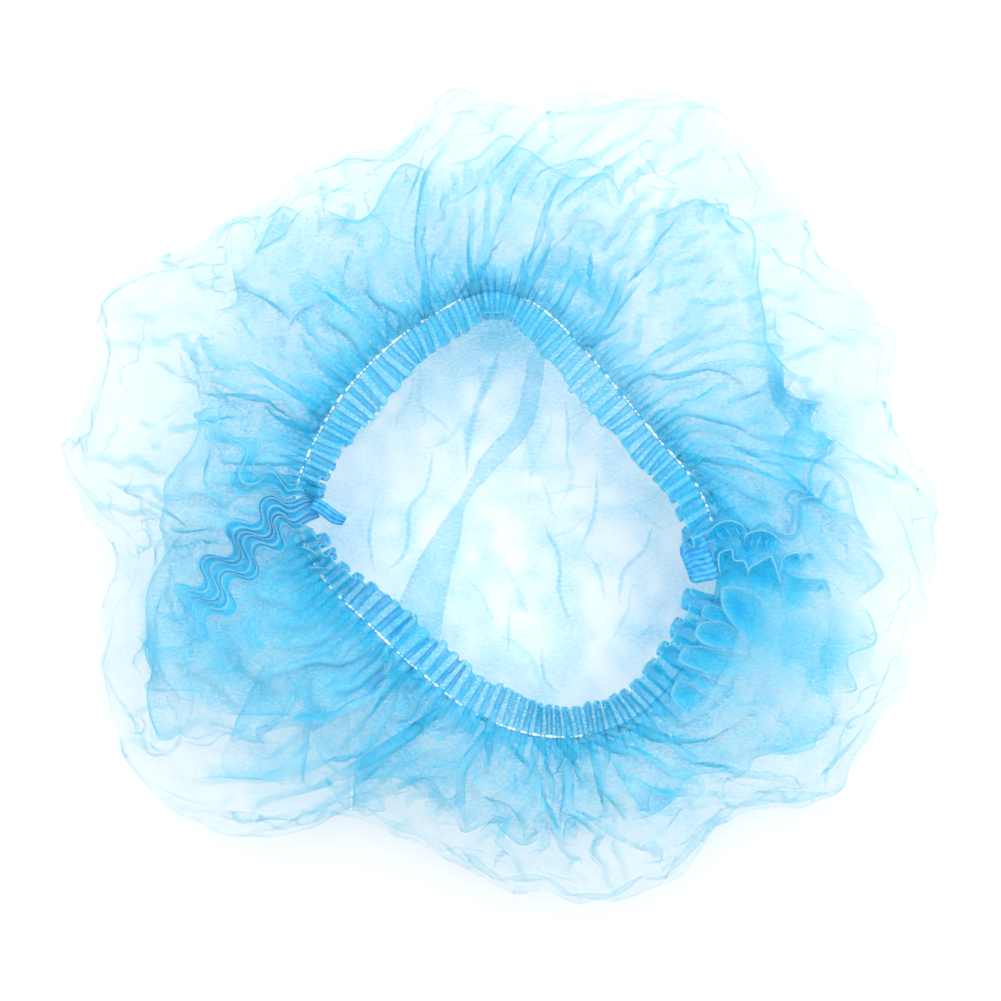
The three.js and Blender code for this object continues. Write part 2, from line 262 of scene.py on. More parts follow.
class Ripple:
    """Smooth seeded noise over the floor plane."""

    def __init__(self, cell: float, seed: int) -> None:
        """Draws the grid of a noise, from the size of its bumps in millimetres and a seed."""
        self._cell = cell
        self._grid = np.random.default_rng(seed).standard_normal((128, 128))

    def at(self, x: Array, y: Array) -> Array:
        """The noise at places on the floor plane.

        Args:
            x: distances along X in millimetres.
            y: distances along Y in millimetres.

        Returns:
            Values with a spread of about one.
        """
        u, v = x / self._cell + 64.0, y / self._cell + 64.0
        i, j = np.floor(u).astype(int), np.floor(v).astype(int)
        s, t = u - i, v - j
        s, t = s * s * (3 - 2 * s), t * t * (3 - 2 * t)
        g = self._grid
        i0, i1, j0, j1 = i % 128, (i + 1) % 128, j % 128, (j + 1) % 128
        low = g[i0, j0] * (1 - s) + g[i1, j0] * s
        high = g[i0, j1] * (1 - s) + g[i1, j1] * s
        return low * (1 - t) + high * t


class Weave(NamedTuple):
    """A surface of points and quads or triangles, before it has a thickness."""

    points: Array
    faces: list[Array]


def grid_faces(ids: Array, closed: bool) -> Array:
    """Quads between the rows of a grid of point numbers.

    Args:
        ids: point numbers, one row of the grid per row.
        closed: whether each row closes on itself.

    Returns:
        Quads, one per line.
    """
    if closed:
        ids = np.concatenate([ids, ids[:, :1]], axis=1)
    quads = np.stack([ids[:-1, :-1], ids[1:, :-1], ids[1:, 1:], ids[:-1, 1:]], axis=-1)
    return quads.reshape(-1, 4)


def halving_faces(fine: Array, coarse: Array) -> Array:
    """Triangles from a closed row of points to one with half as many.

    Args:
        fine: point numbers of the finer row.
        coarse: point numbers of the coarser row.

    Returns:
        Triangles, one per line.
    """
    first, middle, last = fine[0::2], fine[1::2], np.roll(fine[0::2], -1)
    here, ahead = coarse, np.roll(coarse, -1)
    parts = [(first, here, middle), (middle, here, ahead), (middle, ahead, last)]
    return np.concatenate([np.stack(part, axis=-1) for part in parts])


def strip(grid: Array) -> Weave:
    """A surface from rows by columns of points, facing up."""
    ids = np.arange(grid.shape[0] * grid.shape[1]).reshape(grid.shape[:2])
    return Weave(grid.reshape(-1, 3), [grid_faces(ids, False)[:, ::-1]])


def raised(place: Array, height: Array) -> Array:
    """Points from places on the floor plane and their heights."""
    return np.concatenate([place, height[..., None]], axis=-1)


def end_caps(ids: Array, first_tip: int, last_tip: int) -> list[Array]:
    """Triangles that close both ends of a tube.

    Args:
        ids: the tube's point numbers, one ring per row.
        first_tip: number of the point that closes the first ring.
        last_tip: number of the point that closes the last ring.

    Returns:
        The triangles of each end.
    """
    first, last = ids[0], ids[-1]
    start = np.stack([first, np.full(len(first), first_tip), np.roll(first, -1)], axis=-1)
    end = np.stack([np.roll(last, -1), np.full(len(last), last_tip), last], axis=-1)
    return [start, end]


def averaged(values: Array) -> Array:
    """Values averaged with their neighbours along closed rows, and then along columns.

    Args:
        values: rows by columns of values.

    Returns:
        The averages.
    """
    values = (values + np.roll(values, 1, axis=1) + np.roll(values, -1, axis=1)) / 3
    values[1:-1] = (values[:-2] + values[1:-1] + values[2:]) / 3
    return values


def tapered(count: int, over: float, least: float) -> Array:
    """Shares for a run of points, which rise from the least at both ends to one over some points."""
    return np.clip(np.minimum(np.arange(count), np.arange(count)[::-1]) / over, least, 1.0)


def point_normals(points: Array, triangles: Array) -> Array:
    """Unit normals of a surface's points, weighted by area.

    Args:
        points: the surface's points.
        triangles: the surface's triangles.

    Returns:
        A unit vector for each point.
    """
    a, b, c = (points[triangles[:, k]] for k in range(3))
    normal = np.cross(b - a, c - a)
    total = np.zeros_like(points)
    for k in range(3):
        np.add.at(total, triangles[:, k], normal)
    return total / np.maximum(np.linalg.norm(total, axis=1, keepdims=True), 1e-12)


def thicken(weave: Weave, wall: float) -> Block:
    """Makes a closed shell of a surface, half its wall either side, with its open edges closed.

    Args:
        weave: the surface.
        wall: the shell's thickness in millimetres.

    Returns:
        The shell's points and its lists of faces.
    """
    triangles = np.concatenate(
        [f if f.shape[1] == 3 else np.concatenate([f[:, [0, 1, 2]], f[:, [0, 2, 3]]]) for f in weave.faces]
    )
    normals = point_normals(weave.points, triangles)
    count = len(weave.points)
    points = np.concatenate([weave.points + normals * wall / 2, weave.points - normals * wall / 2])
    faces = list(weave.faces) + [f[:, ::-1] + count for f in weave.faces]
    edges = np.concatenate([np.stack([f[:, k], np.roll(f, -1, axis=1)[:, k]], axis=-1)
                            for f in weave.faces for k in range(f.shape[1])])
    keys = np.sort(edges, axis=1)
    _, first, times = np.unique(keys[:, 0] * count + keys[:, 1], return_index=True, return_counts=True)
    rim = edges[first[times == 1]]
    faces.append(np.stack([rim[:, 1], rim[:, 0], rim[:, 0] + count, rim[:, 1] + count], axis=-1))
    return points, faces


class Marks(NamedTuple):
    """What the cloth's finish reads at each point: layers lying together, with painted shade added in places,
    and the strength of a painted highlight along folds and edges.
    """

    plies_and_shade: Array
    crest: Array

    def both_sides(self) -> "Marks":
        """The marks of a shell made of the surface, which are its own twice over."""
        return Marks(np.tile(self.plies_and_shade, 2), np.tile(self.crest, 2))


def placed(name: str, mesh: Mesh) -> Object:
    """An object of a mesh, linked to the scene.

    Args:
        name: the object's name.
        mesh: its mesh.

    Returns:
        The object.
    """
    piece = bpy.data.objects.new(name, mesh)
    bpy.context.scene.collection.objects.link(piece)
    return piece


def set_inputs(node: Node, values: dict[str, object]) -> None:
    """Sets a node's inputs, by each input's name and value."""
    for name, value in values.items():
        node.inputs[name].default_value = value


def make_piece(name: str, points: Array, faces: list[Array], marks: Marks | None = None) -> Object:
    """A smooth-shaded mesh object in metres.

    Args:
        name: the piece's name.
        points: its points in millimetres.
        faces: its quads and triangles.
        marks: the cloth's marks, if it is sheer; steep cloth is bunched closer and covers more, and the
            steepest cloth also gets a painted highlight.

    Returns:
        The object, linked to the scene.
    """
    mesh = bpy.data.meshes.new(name)
    mesh.from_pydata((points * MM).tolist(), [], [f for block in faces for f in block.tolist()])
    mesh.polygons.foreach_set("use_smooth", np.ones(len(mesh.polygons), dtype=bool))
    mesh.update()
    if marks is not None:
        normals = np.empty(3 * len(mesh.vertices), dtype=np.float32)
        mesh.vertex_normals.foreach_get("vector", normals)
        level = np.abs(normals.reshape(-1, 3)[:, 2])
        # Painted highlight: near-upright cloth gets a pale line, fainter where the cloth is thin.
        edge = 0.45 * clamped((0.4 - level) / 0.3) * clamped(marks.plies_and_shade)
        steep = 1.0 / np.maximum(level, 0.65)
        for label, values in (("plies_and_shade", marks.plies_and_shade * steep), ("crest", np.maximum(marks.crest, edge))):
            mesh.attributes.new(label, "FLOAT", "POINT").data.foreach_set("value", values.astype(np.float32))
    return placed(name, mesh)


def settle_piece(piece: Object, finish: Material | None, slot: Slot, *nodes: str) -> None:
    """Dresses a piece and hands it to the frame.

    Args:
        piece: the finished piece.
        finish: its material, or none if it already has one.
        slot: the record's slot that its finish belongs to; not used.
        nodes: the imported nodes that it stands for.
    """
    if finish is not None:
        piece.data.materials.append(finish)
    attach(piece, BODY)
    if nodes:
        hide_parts(*nodes)
    stands_for = ", ".join(nodes) or "no node"
    LOG.info("%s: %d faces, stands for %s", piece.name, len(piece.data.polygons), stands_for)


class ClothSolver:
    """Settles a sheet of cloth that closes on itself across its columns."""

    DRAW_BACK = 0.3
    DAMPING = 0.9
    TOP_SPEED = 1.5
    LEAST_HEIGHT = 2.5

    def __init__(self, points: Array, free: Array, across: Array, along: Array) -> None:
        """Takes the sheet as it starts.

        Args:
            points: rows by columns of points in millimetres; the columns are a multiple of eight.
            free: for each row, one where it moves and zero where it is held.
            across: for each row, the cloth's length between columns.
            along: for each pair of rows and each column, the cloth's length between rows.
        """
        self.points = np.ascontiguousarray(points, dtype=np.float32)
        self._free = free.astype(np.float32)[:, None, None]
        self._across = across.astype(np.float32)[:, None, None]
        self._along = along.astype(np.float32)[..., None]
        self._skew = np.sqrt(self._along**2 + self._across[:-1] ** 2)

    @staticmethod
    def _mend(a: Array, b: Array, wa: Array, wb: Array, rest: Array, share: float, only_push: bool) -> None:
        """Moves pairs of points towards their distance, in place.

        Args:
            a: the first points.
            b: the second points.
            wa: freedom of the first points.
            wb: freedom of the second points.
            rest: the distance that each pair should keep.
            share: how much of the error is taken up.
            only_push: whether pairs are only pushed apart and never pulled together.
        """
        way = b - a
        length = np.sqrt(np.einsum("...k,...k->...", way, way))[..., None] + 1e-6
        error = (length - rest) / length
        if only_push:
            np.minimum(error, 0.0, out=error)
        way *= share * error / (wa + wb + 1e-6)
        a += wa * way
        b -= wb * way

    def _mend_across(self, step: int, slack: float, share: float, only_push: bool) -> None:
        """Mends pairs along each row, a step of columns apart.

        Args:
            step: columns between the points of a pair.
            slack: the distance to keep over the cloth's own length.
            share: how much of the error is taken up.
            only_push: whether pairs are only pushed apart.
        """
        rows, columns, _ = self.points.shape
        free = self._free[:, :, None]
        rest = (self._across * step * slack)[:, :, None]
        for shift in (0, step):
            moved = np.roll(self.points, -shift, axis=1) if shift else self.points
            blocks = moved.reshape(rows, columns // (2 * step), 2, step, 3)
            self._mend(blocks[:, :, 0], blocks[:, :, 1], free, free, rest, share, only_push)
            if shift:
                self.points[:] = np.roll(moved, shift, axis=1)

    def _mend_along(self, step: int, slack: float, share: float, only_push: bool) -> None:
        """Mends pairs along each column, a step of rows apart.

        Args:
            step: rows between the points of a pair.
            slack: the distance to keep over the cloth's own length.
            share: how much of the error is taken up.
            only_push: whether pairs are only pushed apart.
        """
        rows = len(self.points)
        for start in range(2 * step):
            a = slice(start, rows - step, 2 * step)
            b = slice(start + step, rows, 2 * step)
            rest = self._along[a] * step * slack
            self._mend(self.points[a], self.points[b], self._free[a], self._free[b], rest, share, only_push)

    def _mend_skew(self, side: int, share: float) -> None:
        """Mends pairs across the diagonals of the grid.

        Args:
            side: one or minus one, for the two diagonals.
            share: how much of the error is taken up.
        """
        rows = len(self.points)
        for start in range(2):
            a, b = slice(start, rows - 1, 2), slice(start + 1, rows, 2)
            ahead = np.roll(self.points[b], -side, axis=1)
            self._mend(self.points[a], ahead, self._free[a], self._free[b], self._skew[a], share, False)
            self.points[b] = np.roll(ahead, side, axis=1)

    def settle(self, steps: int, level: Array, band: Array, edge: Array, weight: float) -> None:
        """Lets the cloth buckle, fold and come to rest.

        Args:
            steps: how many steps to take.
            level: the height that each point is kept near.
            band: how far from it each row may go before it is drawn back.
            edge: the outline's radius at every tenth of a degree.
            weight: how far the cloth falls in a step.
        """
        level = level.astype(np.float32)
        band = band.astype(np.float32)[:, None]
        speed = np.zeros_like(self.points)
        for _ in range(steps):
            before = self.points.copy()
            speed[..., 2] -= weight
            self.points += self._free * speed
            for _ in range(2):
                self._mend_across(1, 1.0, 1.0, False)
                self._mend_along(1, 1.0, 1.0, False)
                self._mend_skew(1, 0.25)
                self._mend_skew(-1, 0.25)
                self._mend_across(2, 0.82, 0.5, True)
                self._mend_along(2, 0.86, 0.5, True)
                self._mend_across(4, 0.66, 0.3, True)
                self._mend_along(4, 0.74, 0.25, True)
            off = self.points[..., 2] - level
            beyond = np.sign(off) * np.maximum(np.abs(off) - band, 0.0)
            self.points[..., 2] -= self.DRAW_BACK * self._free[..., 0] * beyond
            self._keep_inside(edge)
            speed = self.DAMPING * np.clip(self.points - before, -self.TOP_SPEED, self.TOP_SPEED)

    def _keep_inside(self, edge: Array) -> None:
        """Draws points back to the outline and lifts them off the base.

        Args:
            edge: the outline's radius at every tenth of a degree.
        """
        x, y = self.points[..., 0], self.points[..., 1]
        tenth = np.mod(np.degrees(np.arctan2(y, x)) * 10.0, float(TENTHS)).astype(int) % TENTHS
        shrink = np.minimum(1.0, edge[tenth] / np.hypot(x, y)).astype(np.float32)
        self.points[..., :2] *= shrink[..., None]
        np.maximum(self.points[..., 2], self.LEAST_HEIGHT, out=self.points[..., 2])


class Layout(NamedTuple):
    """Columns of cloth along the elastic line: angle, place, the ways in and along, and the pleats' lift."""

    degrees: Array
    place: Array
    inward: Array
    tangent: Array
    lift: Array
    pleat: Array
    phase: Array


@dataclass
class Gathers:
    """The pleats along the elastic line, shared by the crown and the hems."""

    pleats: int = 88
    cloth_round: float = 1090.0
    spread: float = 0.16
    height: float = 38.0
    stitch_pinch: float = 0.55
    roundness: float = 0.9
    loose_ends: tuple[tuple[float, float, float], ...] = ((203.0, 12.0, 0.6), (326.0, 13.0, 1.5))
    seed: int = 11
    pitch: float = field(init=False)
    widths: Array = field(init=False)
    tall: Array = field(init=False)

    def __post_init__(self) -> None:
        """Draws the pleats' widths and heights, looser towards the welds."""
        rng = np.random.default_rng(self.seed)
        angles, walked = Ring(ELASTIC_LINE).walk(LEFT_END)
        self.pitch = walked[-1] / self.pleats
        middles = np.mod(np.interp((np.arange(self.pleats) + 0.5) * self.pitch, walked, angles), TURN)
        loose = np.ones(self.pleats)
        for at, half_width, extra in self.loose_ends:
            loose += extra * hump(middles - at, half_width)
        self.widths = np.clip(1.0 + self.spread * rng.standard_normal(self.pleats), 0.6, 1.5) * loose
        self.widths *= walked[-1] / self.widths.sum()
        self.tall = np.clip(1.0 + self.spread * rng.standard_normal(self.pleats), 0.65, 1.35) * np.sqrt(loose)
        LOG.info("gathers: %d pleats, %.1f mm apart", self.pleats, self.pitch)

    def lay(self, per_pleat: int, even: bool = False) -> Layout:
        """Lays columns along the elastic line, each an equal length of a pleat's cloth.

        Args:
            per_pleat: how many columns a pleat has.
            even: whether the columns are spaced evenly along the line instead.

        Returns:
            The columns, once round from the left end.
        """
        ring = Ring(ELASTIC_LINE)
        angles, walked = ring.walk(LEFT_END)
        height, across = self._arch(self.cloth_round / self.pleats, per_pleat)
        if even:
            across = np.arange(per_pleat) / per_pleat
        starts = walked_along(self.widths)[:-1]
        distance = (starts[:, None] + self.widths[:, None] * across).ravel()
        degrees = np.interp(distance, walked, angles)
        ahead, behind = (polar(degrees + turn, ring.reach(degrees + turn)) for turn in (1.5, -1.5))
        tangent = (ahead - behind) / np.linalg.norm(ahead - behind, axis=-1, keepdims=True)
        lift = (self.tall[:, None] * height * self._bulge(across)).ravel()
        pleat, phase = np.repeat(np.arange(self.pleats), per_pleat), np.tile(across, self.pleats)
        inward = np.stack([-tangent[:, 1], tangent[:, 0]], axis=-1)
        place = polar(degrees, ring.reach(degrees))
        return Layout(degrees, place, inward, tangent, lift, pleat, phase)

    def pinch(self, distance: float | Array) -> float | Array:
        """Share of the pleats' full height at a distance in millimetres from the stitches."""
        return 1.0 - (1.0 - self.stitch_pinch) * hump(distance, 3.0)

    def _bulge(self, u: Array) -> Array:
        """Height of a round-topped pleat over its half height, at shares of its pitch."""
        return 2.0 * np.sin(np.pi * u) ** self.roundness - 1.0

    def _arch(self, arc: float, samples: int) -> tuple[float, Array]:
        """A round-topped pleat with a tight valley, sampled at equal lengths of cloth.

        Args:
            arc: the cloth's length in one pleat.
            samples: how many samples to take.

        Returns:
            The pleat's half height, and the share of its pitch at each sample.
        """
        u = np.linspace(0.0, 1.0, 721)
        low, high = 0.2, 12.0
        for _ in range(40):
            height = (low + high) / 2
            curve = height * self._bulge(u)
            walked = walked_along(np.hypot(np.diff(u) * self.pitch, np.diff(curve)))
            low, high = (low, height) if walked[-1] > arc else (height, high)
        return height, np.interp(np.arange(samples) / samples * walked[-1], walked, u)


@dataclass
class Crown:
    """The cap's cloth from the elastic over the crest, round the outline and under to the base."""

    gathers: Gathers
    wall: float = 0.3
    per_pleat: int = 7
    rows: int = 56
    tuck: float = 9.0
    tuck_drop: float = 7.0
    steps: int = 260
    quick_steps: int = 20
    weight: float = 0.004
    play: tuple[float, float] = (2.0, 10.0)
    swell_at: float = 0.36
    swell_width: float = 0.24
    crumples: tuple[tuple[int, float], ...] = ((25, 1.0), (70, 3.0), (220, 7.0))
    flounce_waves: Pairs = ((9.0, 3.0), (4.0, 2.2))
    flounce_seed: int = 81
    tuck_waves: Pairs = ((12.0, 5.0),)
    tuck_seed: int = 91
    fullness: tuple[tuple[float, ...], tuple[float, ...]] = (
        (0.0, 0.1, 0.25, 0.5, 1.0), (2.2, 1.75, 1.4, 1.25, 1.08)
    )
    slack_along: float = 0.28
    curl: float = 11.0
    floor_gap: float = 0.3
    base_step: float = 2.4
    centre_gap: float = 8.0
    halved_at: tuple[int, ...] = (3, 16)
    least_layers: float = 0.17
    # Facets: a painted shade that gives each flat facet between folds its own tone and a gradient across it.
    facets: int = 150
    facet_reach: tuple[float, float] = (70.0, 172.0)
    facet_cover: tuple[float, float] = (0.72, 1.2)
    facet_shade_tilt: float = 0.024
    rim_easing: int = 4
    seed: int = 8
    flat: tuple[float, float] = (0.53, 0.53)
    top: Array = field(init=False)

    def build(self) -> Object:
        """Makes the crown's shell.

        Returns:
            The crown.
        """
        self.top = self._settled_top()
        weave, marks = self._joined(self.top)
        points, faces = thicken(weave, self.wall)
        return make_piece("crown_cloth", points, faces, marks.both_sides())

    def _wavy(self, degrees: Array, sizes: Pairs, seed: int) -> Array:
        """Seeded waves round the crown.

        Args:
            degrees: angles in degrees.
            sizes: pairs of the waves' length in degrees and their height.
            seed: seed of the waves.

        Returns:
            The waves' sum at each angle.
        """
        a = np.radians(degrees)
        total = np.zeros_like(a)
        for number, (length, height) in enumerate(sizes):
            radius = TURN / (2 * np.pi)
            total += height * Ripple(length, seed + number).at(radius * np.cos(a), radius * np.sin(a))
        return total

    def flounce(self, degrees: Array) -> Array:
        """Radius, at angles in degrees, of the ruffled edge where the bunched cloth meets the rim's."""
        return Ring(FLOUNCE).reach(degrees) + self._wavy(degrees, self.flounce_waves, self.flounce_seed)

    def _facet_shading(self, place: Array) -> Array:
        """Painted shade of the flat facets between folds, as a factor on the layers: each facet its own tone,
        as if turned differently to the light, with a painted gradient across it.

        Args:
            place: points of the settled cloth.

        Returns:
            A factor for each point, which jumps from one facet to the next.
        """
        rng = np.random.default_rng(self.seed + 1)
        x, y = (place[..., k] + 3.5 * Ripple(8.0, 95 + k).at(place[..., 0], place[..., 1]) for k in range(2))
        across = np.radians(rng.uniform(0, TURN, self.facets))
        out = rng.uniform(*self.facet_reach, self.facets)
        middles = np.stack([out * np.cos(across), out * np.sin(across)], axis=-1)
        away = np.stack([x, y], axis=-1)[..., None, :] - middles
        outward = away[..., 0] * np.cos(across) + away[..., 1] * np.sin(across)
        beside = away[..., 1] * np.cos(across) - away[..., 0] * np.sin(across)
        facet = np.argmin((0.75 * outward) ** 2 + (1.25 * beside) ** 2, axis=-1)
        pick = (*np.indices(facet.shape), facet)
        # Painted shade: a gradient across each facet, darker towards one side.
        shade_tilt = rng.standard_normal((2, self.facets)) * self.facet_shade_tilt
        closer = rng.uniform(*self.facet_cover, self.facets)[facet]
        closer = closer + outward[pick] * shade_tilt[0, facet] + beside[pick] * shade_tilt[1, facet]
        return np.clip(closer, 0.45, 1.75)

    def _start(self) -> tuple[Array, Array]:
        """The sheet before it settles, and the smooth form that it is kept near.

        Returns:
            Both as rows by columns of points.
        """
        gathers = self.gathers.lay(self.per_pleat)
        columns = len(gathers.degrees)
        outline, elastic = Ring(OUTLINE), Ring(ELASTIC_LINE)
        angles, walked = outline.walk(LEFT_END)
        outer = np.interp(np.arange(columns) / columns * walked[-1], walked, angles)
        section = np.array(SECTION)
        path = np.hypot(np.diff(section[:, 0]) * CROWN_SPAN, np.diff(section[:, 1]) * CREST_HEIGHT)
        path = walked_along(path) / path.sum()
        inner = elastic.reach(gathers.degrees)
        reach = outline.reach(outer) + self._wavy(outer, RIM_WAVES, RIM_SEED)
        edge = self.flounce(outer)
        fold_at = np.interp(np.clip((edge - inner) / (reach - inner), 0.3, 0.85), section[:, 0], path)
        tucked = Ring(TUCKING).reach(outer)
        tucked = tucked * (self.tuck + self._wavy(outer, self.tuck_waves, self.tuck_seed))
        tuck = np.clip(tucked, 0.3, 16.0) / CLOTH_RUN
        way = np.linspace(0.0, 1.0, self.rows + 1)[:, None] * (1 + 2 * tuck)
        back = clamped((way - fold_at) / tuck)
        way = np.where(way < fold_at + tuck, np.minimum(way, 2 * fold_at - way), way - 2 * tuck)
        for _ in range(2):
            way[1:-1] = (way[:-2] + 2 * way[1:-1] + way[2:]) / 4
            back[1:-1] = (back[:-2] + 2 * back[1:-1] + back[2:]) / 4
        share, level, dent = (np.interp(way, path, section[:, k]) for k in range(3))
        degrees = gathers.degrees * (1 - share) + outer * share
        radius = inner + share * (reach - inner)
        height = level * CREST_HEIGHT - dent * dent_depth(degrees)
        fall = back * self.tuck_drop * clamped(tuck * CLOTH_RUN / self.tuck)
        height -= fall * clamped((1 - way) / 0.3)
        form = raised(polar(degrees, radius), height)
        fade = clamped(1.0 - share / 0.22)
        start = form.copy()
        start[..., 2] += fade * gathers.lift * self.gathers.pinch(share * CROWN_SPAN)
        rng = np.random.default_rng(self.seed)
        for smoothing, size in self.crumples:
            noise = self._smoothed(rng.standard_normal(height.shape), smoothing)
            start[..., 2] += size * np.sin(np.pi * clamped(way)) * (1 - 0.7 * back) * noise
        return start, form

    @staticmethod
    def _smoothed(noise: Array, times: int) -> Array:
        """Noise averaged with its neighbours, with a spread of one.

        Args:
            noise: rows by columns of values.
            times: how often to average.

        Returns:
            The smoothed values.
        """
        for _ in range(times):
            noise = averaged(noise)
        return noise / noise.std()

    def _settled_top(self) -> Array:
        """The cloth from the elastic to the outline, buckled and folded as it settles.

        Returns:
            Rows by columns of points.
        """
        start, form = self._start()
        way = np.linspace(0.0, 1.0, self.rows + 1)
        free = np.ones(self.rows + 1)
        free[:2] = 0.0
        free[-1] = 0.0
        swell = hump(way - self.swell_at, self.swell_width)
        round_length = np.linalg.norm(np.diff(form[..., :2], axis=1), axis=-1).sum(axis=1)
        across = round_length * np.interp(way, *self.fullness) / start.shape[1]
        along = steps_along(form).mean(axis=0)
        along = along[None, :] * (1 + self.slack_along * swell[:-1, None])
        tenths = np.arange(TENTHS) / 10.0
        edge = Ring(OUTLINE).reach(tenths) + self._wavy(tenths, RIM_WAVES, RIM_SEED) - 0.4
        solver = ClothSolver(start, free, across, along)
        band = self.play[0] + self.play[1] * np.sin(np.pi * way) ** 0.7
        steps = self.steps
        solver.settle(steps, form[..., 2], band, edge, self.weight)
        LOG.info("crown cloth settled in %d steps", steps)
        points = solver.points.astype(float)
        eased = clamped((way - 0.5) / 0.2)[1:-1, None, None]
        for _ in range(self.rim_easing):
            beside = (np.roll(points, 1, axis=1) + np.roll(points, -1, axis=1)) / 2
            near = (beside[1:-1] + (points[:-2] + points[2:]) / 2) / 2
            points[1:-1] += 0.5 * eased * (near - points[1:-1])
        return points

    def base_height(self, x: Array, y: Array) -> Array:
        """Height of the base's cloth, with its low ripples and crumples.

        Args:
            x: distances along X in millimetres.
            y: distances along Y in millimetres.

        Returns:
            Heights in millimetres.
        """
        broad = 0.5 * Ripple(26.0, 21).at(x, y) + 0.5 * Ripple(11.0, 22).at(x, y)
        warp = 5.0 * Ripple(19.0, 23).at(x, y)
        ridge = hump(Ripple(15.0, 24).at(x + warp, y * 0.6), 0.13)
        return self.floor_gap + np.clip(0.7 + 0.5 * broad, 0.0, 2.2) + 0.9 * ridge

    def _top_marks(self, top: Array) -> Marks:
        """Marks of the top cloth: cloth lying below its surroundings is darkened as painted shade, and sharp
        ridges get a painted highlight.

        Args:
            top: rows by columns of the settled cloth.

        Returns:
            The marks, one per point.
        """
        height = top[..., 2]
        broad = height.copy()
        for _ in range(14):
            broad = averaged(broad)
        near = (np.roll(height, 2, axis=1) + np.roll(height, -2, axis=1)) / 2
        way = np.linspace(0.0, 1.0, len(height))[:, None]
        degrees = np.degrees(np.arctan2(top[..., 1], top[..., 0]))
        bunch = Ring(BUNCHING).reach(degrees)
        near_stitches = hump(way, 0.2)
        behind = self.flounce(degrees) - np.hypot(top[..., 0], top[..., 1])
        doubled = clamped(0.3 + behind / 6.0)
        doubled = doubled * np.interp(behind, (0.0, 20.0, 55.0), (0.5, 0.55, 0.8))
        layers = self.least_layers + bunch * (doubled + 0.35 * near_stitches)
        # Painted shade: hollows below the smoothed surface get more cover, and each facet gets its own
        # painted tone.
        plies_and_shade = layers * (1.0 - 0.3 * np.tanh((height - broad) / 1.6)) * self._facet_shading(top)
        # Painted highlight along sharp ridges, fading out towards the rim.
        crest = 0.4 * clamped((height - near - 0.4) / 0.8) * clamped(1.3 - way)
        return Marks(plies_and_shade.ravel(), crest.ravel())

    def _joined(self, top: Array) -> tuple[Weave, Marks]:
        """The top cloth joined to the base at the outline.

        Args:
            top: rows by columns of the settled cloth.

        Returns:
            The whole surface, facing out, and its marks.
        """
        rows, columns, _ = top.shape
        ids = np.arange(rows * columns).reshape(rows, columns)
        points = [top.reshape(-1, 3)]
        marks = self._top_marks(top)
        plies_and_shade = [marks.plies_and_shade]
        faces = [grid_faces(ids, True)]
        last, rim = ids[-1], top[-1]
        total = rows * columns
        reach = np.hypot(rim[:, 0], rim[:, 1])
        heading = rim[:, :2] / reach[:, None]
        inset = list(self.curl * (1 - np.cos(np.radians(CURL_TURNS))))
        drop = list(np.sin(np.radians(CURL_TURNS)))
        while inset[-1] + self.base_step < reach.mean() - self.centre_gap:
            inset.append(inset[-1] + self.base_step)
            drop.append(1.0)
        for number, (back, fallen) in enumerate(zip(inset, drop)):
            share = 1 - back / reach.mean()
            if number in self.halved_at:
                heading, reach, rim = heading[::2], reach[::2], rim[::2]
            place = heading * (reach * share)[:, None]
            x, y = place[:, 0], place[:, 1]
            low = self.base_height(x, y)
            height = rim[:, 2] * (1 - fallen) + low * fallen
            points.append(np.column_stack([place, height]))
            mottle = 0.9 + sum(0.6 * Ripple(cell, 25 + int(cell)).at(x, y) for cell in (13.0, 6.0))
            # Painted shadow: extra cover on the base just below the upper hem.
            under = 1.2 * np.exp(-((x / 26.0) ** 2) - ((y - 66.0) / 16.0) ** 2)
            thin = 0.36 - 0.25 * clamped((share - 0.5) / 0.4)
            plies_and_shade.append(np.clip(mottle, 0.05, 3.0) * thin + under)
            here = np.arange(total, total + len(place))
            total += len(place)
            halved = len(here) < len(last)
            faces.append(halving_faces(last, here) if halved else grid_faces(np.stack([last, here]), True))
            last = here
        centre = self.base_height(np.zeros(1), np.zeros(1))[0]
        points.append(np.array([[0.0, 0.0, centre]]))
        plies_and_shade.append(np.full(1, 0.4))
        faces.append(np.stack([last, np.full(len(last), total), np.roll(last, -1)], axis=-1))
        crest = np.concatenate([marks.crest, np.zeros(total + 1 - len(marks.crest))])
        return Weave(np.concatenate(points), faces), Marks(np.concatenate(plies_and_shade), crest)


class HeightMap:
    """The greatest height of some cloth over the floor plane, for what lies on it."""

    def __init__(self, points: Array, cell: float = 3.0, half: float = 195.0) -> None:
        """Reads the heights of the cloth's points, and fills the gaps between them.

        Args:
            points: the cloth's points in millimetres.
            cell: size of the map's cells.
            half: half the map's width.
        """
        self._cell, self._half = cell, half
        size = int(2 * half / cell) + 1
        grid = np.zeros((size, size))
        i, j = (np.clip(((points[:, k] + half) / cell).astype(int), 0, size - 1) for k in range(2))
        np.maximum.at(grid, (i, j), points[:, 2])
        for _ in range(2):
            grid = np.where(grid > 0, grid, np.max(self._near(grid), axis=0))
        for _ in range(3):
            grid = np.maximum(grid, np.mean(self._near(grid), axis=0))
        self._grid = grid

    @staticmethod
    def _near(grid: Array) -> list[Array]:
        """Each cell's neighbours and the cell itself, as nine shifted maps."""
        wide = np.pad(grid, 1, mode="edge")
        return [wide[a:a + len(grid), b:b + len(grid)] for a in range(3) for b in range(3)]

    def at(self, x: Array, y: Array) -> Array:
        """Heights at places on the floor plane.

        Args:
            x: distances along X in millimetres.
            y: distances along Y in millimetres.

        Returns:
            Heights in millimetres.
        """
        u, v = ((np.asarray(way) + self._half) / self._cell - 0.5 for way in (x, y))
        i, j = np.floor(u).astype(int), np.floor(v).astype(int)
        s, t = u - i, v - j
        g = self._grid
        low = g[i, j] * (1 - s) + g[i + 1, j] * s
        high = g[i, j + 1] * (1 - s) + g[i + 1, j + 1] * s
        return low * (1 - t) + high * t


